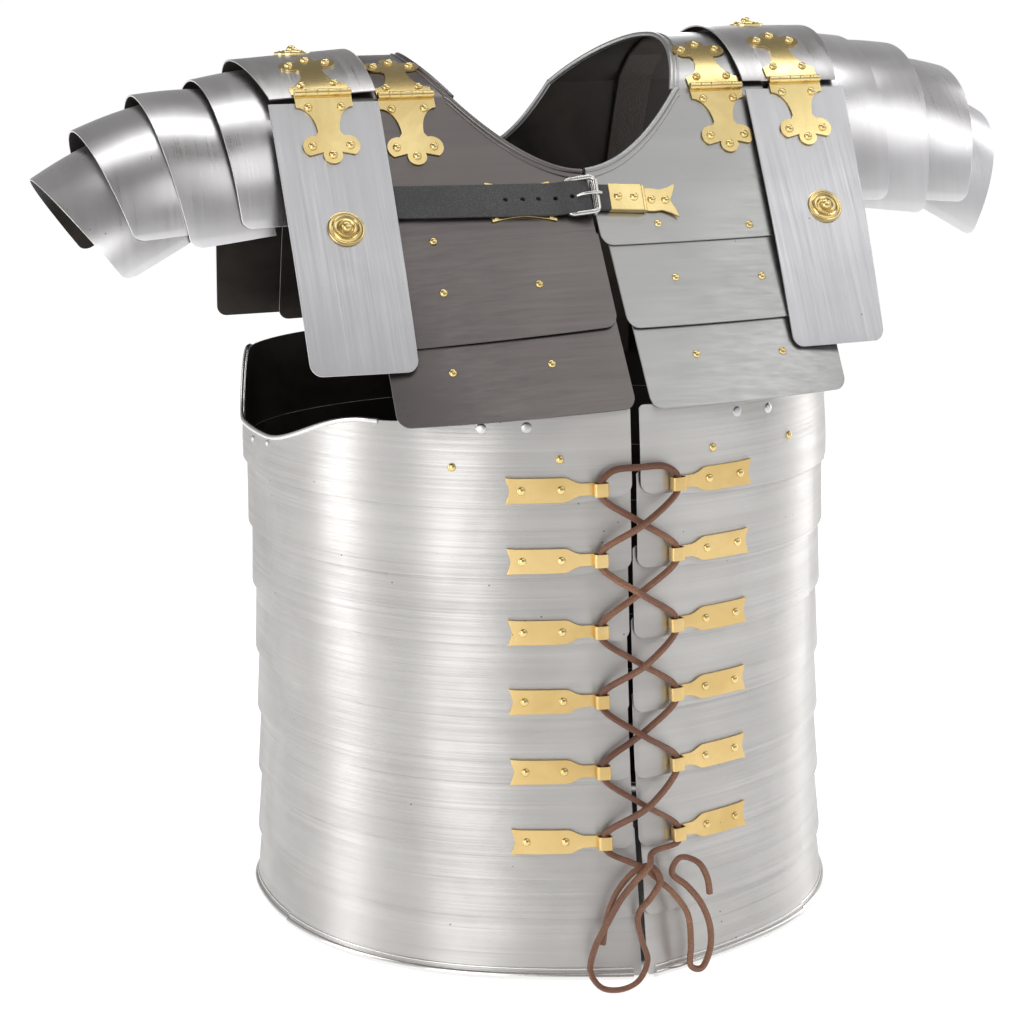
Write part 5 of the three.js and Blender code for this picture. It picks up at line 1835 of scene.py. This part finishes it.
@dataclass(frozen=True)
class Buckle:
    """Buckle of the chest strap and its brass plates, along u, up v and out n."""

    strap: ChestStrap
    tilt: float = -4.0  # of the whole buckle, in degrees
    bar_x: float = 0.5
    bar_width: float = 2.4
    bar_soft: float = 0.7
    frame_height: float = 30
    frame_corner: float = 3.6
    frame_out: Span = (2.2, 7.2)  # at its far side, and over the bar
    reach: float = 19
    wire: float = 3.4
    prong: float = 1.15
    plate_from: float = 12.5
    plate_to: float = 36
    plate_half: float = 10
    plate_out: float = 4.8
    inner_half: float = 9.6  # of the leather tab and the plates' joint
    tail_to: float = 62
    tail_sheet: float = 1.4

    @property
    def frame_x(self) -> Span:
        """Places of the wire's middle at both sides of the frame."""
        return self.bar_x - self.reach + self.wire / 2, self.bar_x + self.wire / 2 + 0.6

    def frame(self) -> list[Piece]:
        """The wire frame and its bar."""
        (low, high), r = self.frame_x, self.frame_corner
        top = self.frame_height / 2 - self.wire / 2
        corners = ((high - r, top - r), (low + r, top - r), (low + r, r - top), (high - r, r - top))
        path = []
        for start, centre in zip((0, 90, 180, 270), corners):
            for u, v in arc(centre, r, start, start + 90, 7):
                path.append(Vector((u, v, mix(*self.frame_out, smooth(low, high, u)))) * MM)
        nickel = NICKEL.material()
        loop = sweep("frame", path, round_section(self.wire / 2, 14), nickel, closed=True)
        bar_end = (self.bar_x + self.bar_width, top, 3.4)
        bar = block("bar", (self.bar_x, -top, 0.6), bar_end, nickel, self.bar_soft)
        return [loop, bar]

    def tongue(self) -> Piece:
        """The prong, from its root by the frame's far wire to its tip over the bar."""
        route = ((-13, 4.4), (-10, 6.8), (-6, 8.4), (-2, 9.7), (1, 9.9), (2.6, 9.2))
        path = [Vector((self.frame_x[1] + along, 0, out)) * MM for along, out in route]
        return sweep("prong", path, round_section(self.prong, 10), NICKEL.material())

    def plates(self) -> list[Piece]:
        """The leather tab, the first brass plate and its joint with the tail."""
        half, inner, brass = self.plate_half, self.inner_half, BRASS.material()
        tab_from, tab_to = (self.bar_x + 2.6, -inner, 0.9), (self.plate_from + 4, inner, 4.3)
        tab = block("tab", tab_from, tab_to, BLACK_LEATHER.material(), 0.8)
        low, high = (self.plate_from, -half, 0), (self.plate_to, half, self.plate_out)
        plate = block("plate", low, high, brass, 0.4)
        path = [Vector((self.plate_to + 1.3, v, 2.1)) * MM for v in spread(-inner, inner, 5)]
        return [tab, plate, sweep("plate_hinge", path, round_section(1.9, 14), brass)]

    def tail(self) -> Piece:
        """The fishtailed plate at the buckle's end."""
        start, end = self.plate_to, self.tail_to
        side = [(start + 2, 8.6), (start + 8, 8.9), (start + 14, 8.0), (end - 10, 8.4), (end - 5, 10.2)]
        fishtail = [(end, 13.0), (end - 2.0, 6.5), (end - 4.0, 2.2), (end - 5.0, 0)]
        upper = side + fishtail
        outline = upper + [(u, -v) for u, v in reversed(upper[:-1])]
        tail = outline_sheet("tail", list(reversed(outline)))
        for vertex in tail.data.vertices:
            vertex.co = Vector((vertex.co.x, vertex.co.y, self.tail_sheet)) * MM
        tail.data.update()
        if tail.data.polygons[0].normal.z < 0:
            tail.data.flip_normals()
        return raise_wall(tail, [BRASS.material()], self.tail_sheet, SOFT)

    def rivets(self) -> list[Piece]:
        """Two rivets on the first plate and two on the tail."""
        on_plate = [(u, self.plate_out) for u in (self.plate_from + 6, self.plate_to - 6)]
        on_tail = [(u, self.tail_sheet) for u in (self.plate_to + 7.5, self.tail_to - 8.5)]
        heads = []
        for u, out in on_plate + on_tail:
            head = LEAF_RIVET.head()
            head.data.transform(Matrix.Translation(Vector((u, 0, out)) * MM))
            heads.append(head)
        return heads

    def build(self) -> None:
        """Makes the buckle and lays it on the chest."""
        slope = BODY.front_slope
        up, out = Vector((0, slope, 1)).normalized(), Vector((0, -1, slope)).normalized()
        z = self.strap.z + self.strap.fall * self.strap.start
        origin = BODY.point(Face.FRONT, 0, z, collar_lift(z) + SHEET + 2 * GAP)
        turn = Matrix.Rotation(math.radians(self.tilt), 3, out)
        parts = [*self.frame(), self.tongue(), *self.plates(), self.tail(), *self.rivets()]
        buckle = join("buckle_metal", parts)
        stand_at(buckle, origin, turn @ Vector((1, 0, 0)), turn @ up, out)
        finish_piece(buckle, MAIN_BODY, ["buckle"])


def collar_lift(z: float) -> float:
    """Offset of the left top breast plate's inner face at a height."""
    plates = [p for p in collar_plates() if p.part == "breast_top" and p.side is Side.LEFT]
    return plates[0].lift(z)


# ------------------------------------------------------------------------- lace
@dataclass(frozen=True)
class Lace:
    """One leather lace, tied in a bow under the lowest tie loops."""

    width: float = 4.0
    above: float = 1.4  # its turn out of an eye: how far above it, and how far inward
    turn: float = 1.0
    between: int = 7  # points of the smooth line between two places
    knot_z: float = 83.0
    under: float = 3.6  # distance of a crossing's two strands from the plates
    over: float = 10.5
    flatness: float = 0.86  # of its section
    rounding: float = 0.55
    twist: float = 140  # over its whole length, in degrees

    def front(self, x: float, out: float, z: float) -> Point:
        """Point in front of the slit, out from the lowest bands."""
        return x, TRUNK.point(0, self.knot_z, TRUNK.lean + 2 * SHEET)[1] - out, z

    def crossing(self, index: int, over: bool) -> Point:
        """Where two strands cross in front of the slit."""
        a, b = TieLoop(Side.RIGHT, index).eye_centre(), TieLoop(Side.LEFT, index + 1).eye_centre()
        z = (a[2] + b[2]) / 2
        y = GirthBand(index).place(0, z, 2 * SHEET)[1]
        return 0.0, y - (self.over if over else self.under), z

    def through(self, side: Side, index: int, upward: bool) -> list[Point]:
        """Places below, in and above an eye, in the lace's direction."""
        rise = TieLoop(side, index).eye_height / 2 + self.above
        low, middle, high = (TieLoop(side, index).eye_centre(up) for up in (-rise, 0, rise))
        turn = side.value * self.turn
        places = [(low[0] - turn, low[1], low[2]), middle, (high[0] - turn, high[1], high[2])]
        return places if upward else places[::-1]

    def route(self) -> list[Point]:
        """Places of the lace, from the free end on the wearer's right."""
        start = [
            (-33, 9, 30), (-30, 9, 48), (-22, 8, 66), (-8, 7, 79), (3, 6, 80), (8, 11, 72), (1, 14, 62),
            (-9, 14, 50), (-7, 15, 32), (-4, 18, 18), (-12, 22, 6), (-26, 24, 2.4), (-38, 20, 4),
            (-44, 15, 14), (-40, 13, 30), (-30, 13, 48), (-22, 14, 62), (-10, 12.5, 74), (0, 12, 83),
            (3, 8, 90),
        ]
        finish = [
            (-8, 6, 83), (0, 5, 78), (8, 6, 70), (18, 9, 60), (28, 11, 44), (30, 12, 22), (30, 12, 6.5),
            (38, 11, 3.4), (45, 9, 14), (46, 8, 30), (40, 7.5, 48), (30, 5.5, 62), (19, 4.5, 73),
            (24, 7, 84), (36, 9, 80), (43, 9, 68), (45, 9, 56),
        ]
        loops = len(TIE_HEIGHTS)
        places = [self.front(*place) for place in start]
        for step, index in enumerate(reversed(range(loops))):
            side = Side.LEFT if step % 2 == 0 else Side.RIGHT
            places += self.through(side, index, True)
            if index:
                places.append(self.crossing(index - 1, False))
        rise = TieLoop(Side.RIGHT, 0).eye_height / 2 + self.above + 5
        right, left = (TieLoop(side, 0).eye_centre(rise) for side in Side)
        middle = ((right[0] + left[0]) / 2, (right[1] + left[1]) / 2 - 1, right[2] + 2)
        places += [(right[0] + 9, right[1], right[2] + 1), middle, (left[0] - 9, left[1], left[2] + 1)]
        for index in range(loops):
            side = Side.LEFT if index % 2 == 0 else Side.RIGHT
            places += self.through(side, index, False)
            if index < loops - 1:
                places.append(self.crossing(index, True))
        return places + [self.front(*place) for place in finish]

    def line(self) -> list[Vector]:
        """Smooth centreline through the route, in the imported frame."""
        route = [in_frame(place) for place in self.route()]
        points = [route[0] * 2 - route[1], *route, route[-1] * 2 - route[-2]]
        line = [route[0]]
        for a, b, c, d in zip(points, points[1:], points[2:], points[3:]):
            ta, tb, tc = (math.sqrt((q - p).length) for p, q in ((a, b), (b, c), (c, d)))
            start = ((b - a) / ta - (c - a) / (ta + tb) + (c - b) / tb) * tb
            end = ((c - b) / tb - (d - b) / (tb + tc) + (d - c) / tc) * tb
            for step in range(1, self.between + 1):
                t = step / self.between
                hermite = (2 * t**3 - 3 * t**2 + 1, t**3 - 2 * t**2 + t, 3 * t**2 - 2 * t**3, t**3 - t**2)
                line.append(b * hermite[0] + start * hermite[1] + c * hermite[2] + end * hermite[3])
        return line

    def build(self) -> None:
        line = self.line()
        half, straight = self.width / 2, 1 - self.rounding
        section = []
        for x, y, start in ((1, 1, 0), (-1, 1, 90), (-1, -1, 180), (1, -1, 270)):
            centre = (x * half * straight, y * half * self.flatness * straight)
            section += arc(centre, half * self.rounding, start, start + 90, 4)
        lace = sweep("lace_leather", line, section, LACE_LEATHER.material(), twist=self.twist)
        finish_piece(lace, MAIN_BODY, ["lace"])


# ------------------------------------------------------------------------ studio
@dataclass(frozen=True)
class SoftBox:
    """A rectangular area light that faces a point of the cuirass."""

    name: str
    azimuth: float  # degrees from the front, positive to the wearer's left
    elevation: float
    distance: float
    size: Flat  # metres, across and up
    power: float
    colour: Colour = (1.0, 1.0, 1.0)
    aim: Point = (0.0, 0.0, 0.32)

    def build(self) -> None:
        """Makes the light."""
        turn, lift = math.radians(self.azimuth), math.radians(self.elevation)
        away = Vector((math.sin(turn) * math.cos(lift), -math.cos(turn) * math.cos(lift), math.sin(lift)))
        data = bpy.data.lights.new(self.name, "AREA")
        data.shape = "RECTANGLE"
        data.size, data.size_y = self.size
        data.energy = self.power
        data.color = self.colour
        lamp = bpy.data.objects.new(self.name, data)
        lamp.location = Vector(self.aim) + away * self.distance
        lamp.rotation_euler = away.to_track_quat("Z", "Y").to_euler()
        bpy.context.scene.collection.objects.link(lamp)


@dataclass(frozen=True)
class Studio:
    """Camera, floor and light."""

    eye: Point = (-0.5713, -1.6740, 0.6807)
    right: Point = (0.94998, -0.31198, -0.01408)
    up: Point = (0.08121, 0.20322, 0.97576)
    focal: float = 2474 / 1024  # in picture widths
    sensor: float = 36.0
    room: float = 0.62
    glow: float = 0.85  # light of the floor itself
    painted_shadow_to: float = 0.192  # painted shadow: no glow inside the trunk
    painted_shadow_edge: float = 0.02
    painted_shadow_back: float = 0.022  # middle of the painted shadow, behind the trunk's

    def camera(self) -> None:
        """Sets the camera up."""
        data = bpy.data.cameras.new("camera")
        data.sensor_width = self.sensor
        data.lens = self.focal * self.sensor
        data.clip_end = 400
        camera = bpy.data.objects.new("camera", data)
        right, up = Vector(self.right).normalized(), Vector(self.up)
        up = (up - right * up.dot(right)).normalized()
        turn = Matrix((right, up, right.cross(up))).transposed().to_4x4()
        camera.matrix_world = Matrix.Translation(self.eye) @ turn
        bpy.context.scene.collection.objects.link(camera)
        bpy.context.scene.camera = camera

    def floor(self) -> None:
        """Lays a pale floor that glows evenly, with a painted shadow where its glow stops inside and just
        round the trunk.
        """
        clear_selection()
        bpy.ops.mesh.primitive_plane_add(size=160)
        floor = named(bpy.context.object, "studio_floor")
        material = bpy.data.materials.new("floor")
        material.use_nodes = True
        shader = material.node_tree.nodes["Principled BSDF"]
        shader.inputs["Base Color"].default_value = (0.5, 0.5, 0.5, 1)  # a middle grey, under its glow
        shader.inputs["Roughness"].default_value = 0.9
        shader.inputs["Emission Color"].default_value = (1, 1, 1, 1)
        tree = material.node_tree
        where = add_node(tree, "ShaderNodeTexCoord").outputs["Object"]
        shift: Sockets = {0: where, 1: (0, self.painted_shadow_back, 0)}
        centre = add_node(tree, "ShaderNodeVectorMath", shift, operation="SUBTRACT").outputs[0]
        away = add_node(tree, "ShaderNodeVectorMath", {0: centre}, operation="LENGTH").outputs["Value"]
        # Painted shadow: the glow falls to nothing inside the trunk and in a thin crescent behind it.
        glow = ramp(tree, away, (self.painted_shadow_to, self.painted_shadow_to + self.painted_shadow_edge), (0.0, self.glow))
        tree.links.new(glow, shader.inputs["Emission Strength"])
        floor.data.materials.append(material)

    def world(self) -> None:
        """Lights the room: bright at both sides, darker in front, behind and high up."""
        world = bpy.data.worlds.new("studio")
        world.use_nodes = True
        tree = world.node_tree
        where = add_node(tree, "ShaderNodeTexCoord").outputs["Generated"]
        axes = add_node(tree, "ShaderNodeSeparateXYZ", {0: where})
        side = sum_of(tree, "ABSOLUTE", axes.outputs["X"])
        bright = ramp(tree, side, (0.15, 0.85), (0.25, 1.0))
        low = ramp(tree, axes.outputs["Z"], (0.40, 0.75), (1.0, 0.25))
        low_side = sum_of(tree, "MULTIPLY", bright, low)
        colour = colour_mix(tree, low_side, (0.22, 0.21, 0.20), (1.0, 1.0, 1.02))
        above_ground = ramp(tree, axes.outputs["Z"], (0.0, 0.25))
        shade = colour_mix(tree, above_ground, (0.95, 0.95, 0.95), colour)
        background = tree.nodes["Background"]
        tree.links.new(shade, background.inputs["Color"])
        background.inputs["Strength"].default_value = self.room
        bpy.context.scene.world = world

    def lights(self) -> None:
        """Places the soft boxes."""
        boxes = (
            SoftBox("overhead", 160, 80, 1.9, (2.0, 0.45), 9),
            SoftBox("left_back", -98, 12, 1.5, (0.40, 1.6), 5),
            SoftBox("left_front", -46, 10, 1.9, (0.85, 1.8), 9.5),
            SoftBox("right_wall", 104, 16, 1.6, (0.45, 1.6), 4),
            SoftBox("right_back", 158, 10, 1.6, (0.3, 1.6), 6),
            SoftBox("right_front", 58, 42, 2.4, (0.8, 1.0), 4),
            SoftBox("key", 16, 55, 2.2, (1.5, 1.1), 5),
        )
        for box in boxes:
            box.build()

    def build(self) -> None:
        """Makes the studio."""
        self.camera()
        self.floor()
        self.world()
        self.lights()
        bpy.context.scene.view_settings.view_transform = "Standard"


# -------------------------------------------------------------------------- main
def dress_lining(frame: dict) -> None:
    """Gives the kept leather straps inside the cuirass their finish."""
    for side in Side:
        node = frame["nodes"][f"inner_leather_{side.word}"]
        node.data.materials.clear()
        node.data.materials.append(LINING_LEATHER.material())


def main() -> None:
    """Builds the studio and every piece of the cuirass."""
    logging.basicConfig(level=logging.INFO, format="%(name)s: %(message)s")
    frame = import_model()
    Studio().build()
    Lace().build()
    for index in range(len(BAND_ROWS)):
        GirthBand(index).build()
    for side in Side:
        for index in range(len(TIE_HEIGHTS)):
            TieLoop(side, index).build()
    plates = collar_plates()
    for plate in plates:
        plate.build()
    tops = {(p.side, p.face): p for p in plates if p.part.endswith("_top")}
    for side in Side:
        ShoulderPlate(side).build()
        guard = Guard(side)
        guard.build_middle()
        for face in Face:
            CollarHinge(side, face).build(tops[side, face])
            guard.build_long(face)
        for index in range(len(ARM_ROWS)):
            ArmPlate(side, index).build()
    strap = ChestStrap()
    strap.build_strap()
    strap.build_fitting()
    Buckle(strap).build()
    dress_lining(frame)


if __name__ == "__main__":
    main()
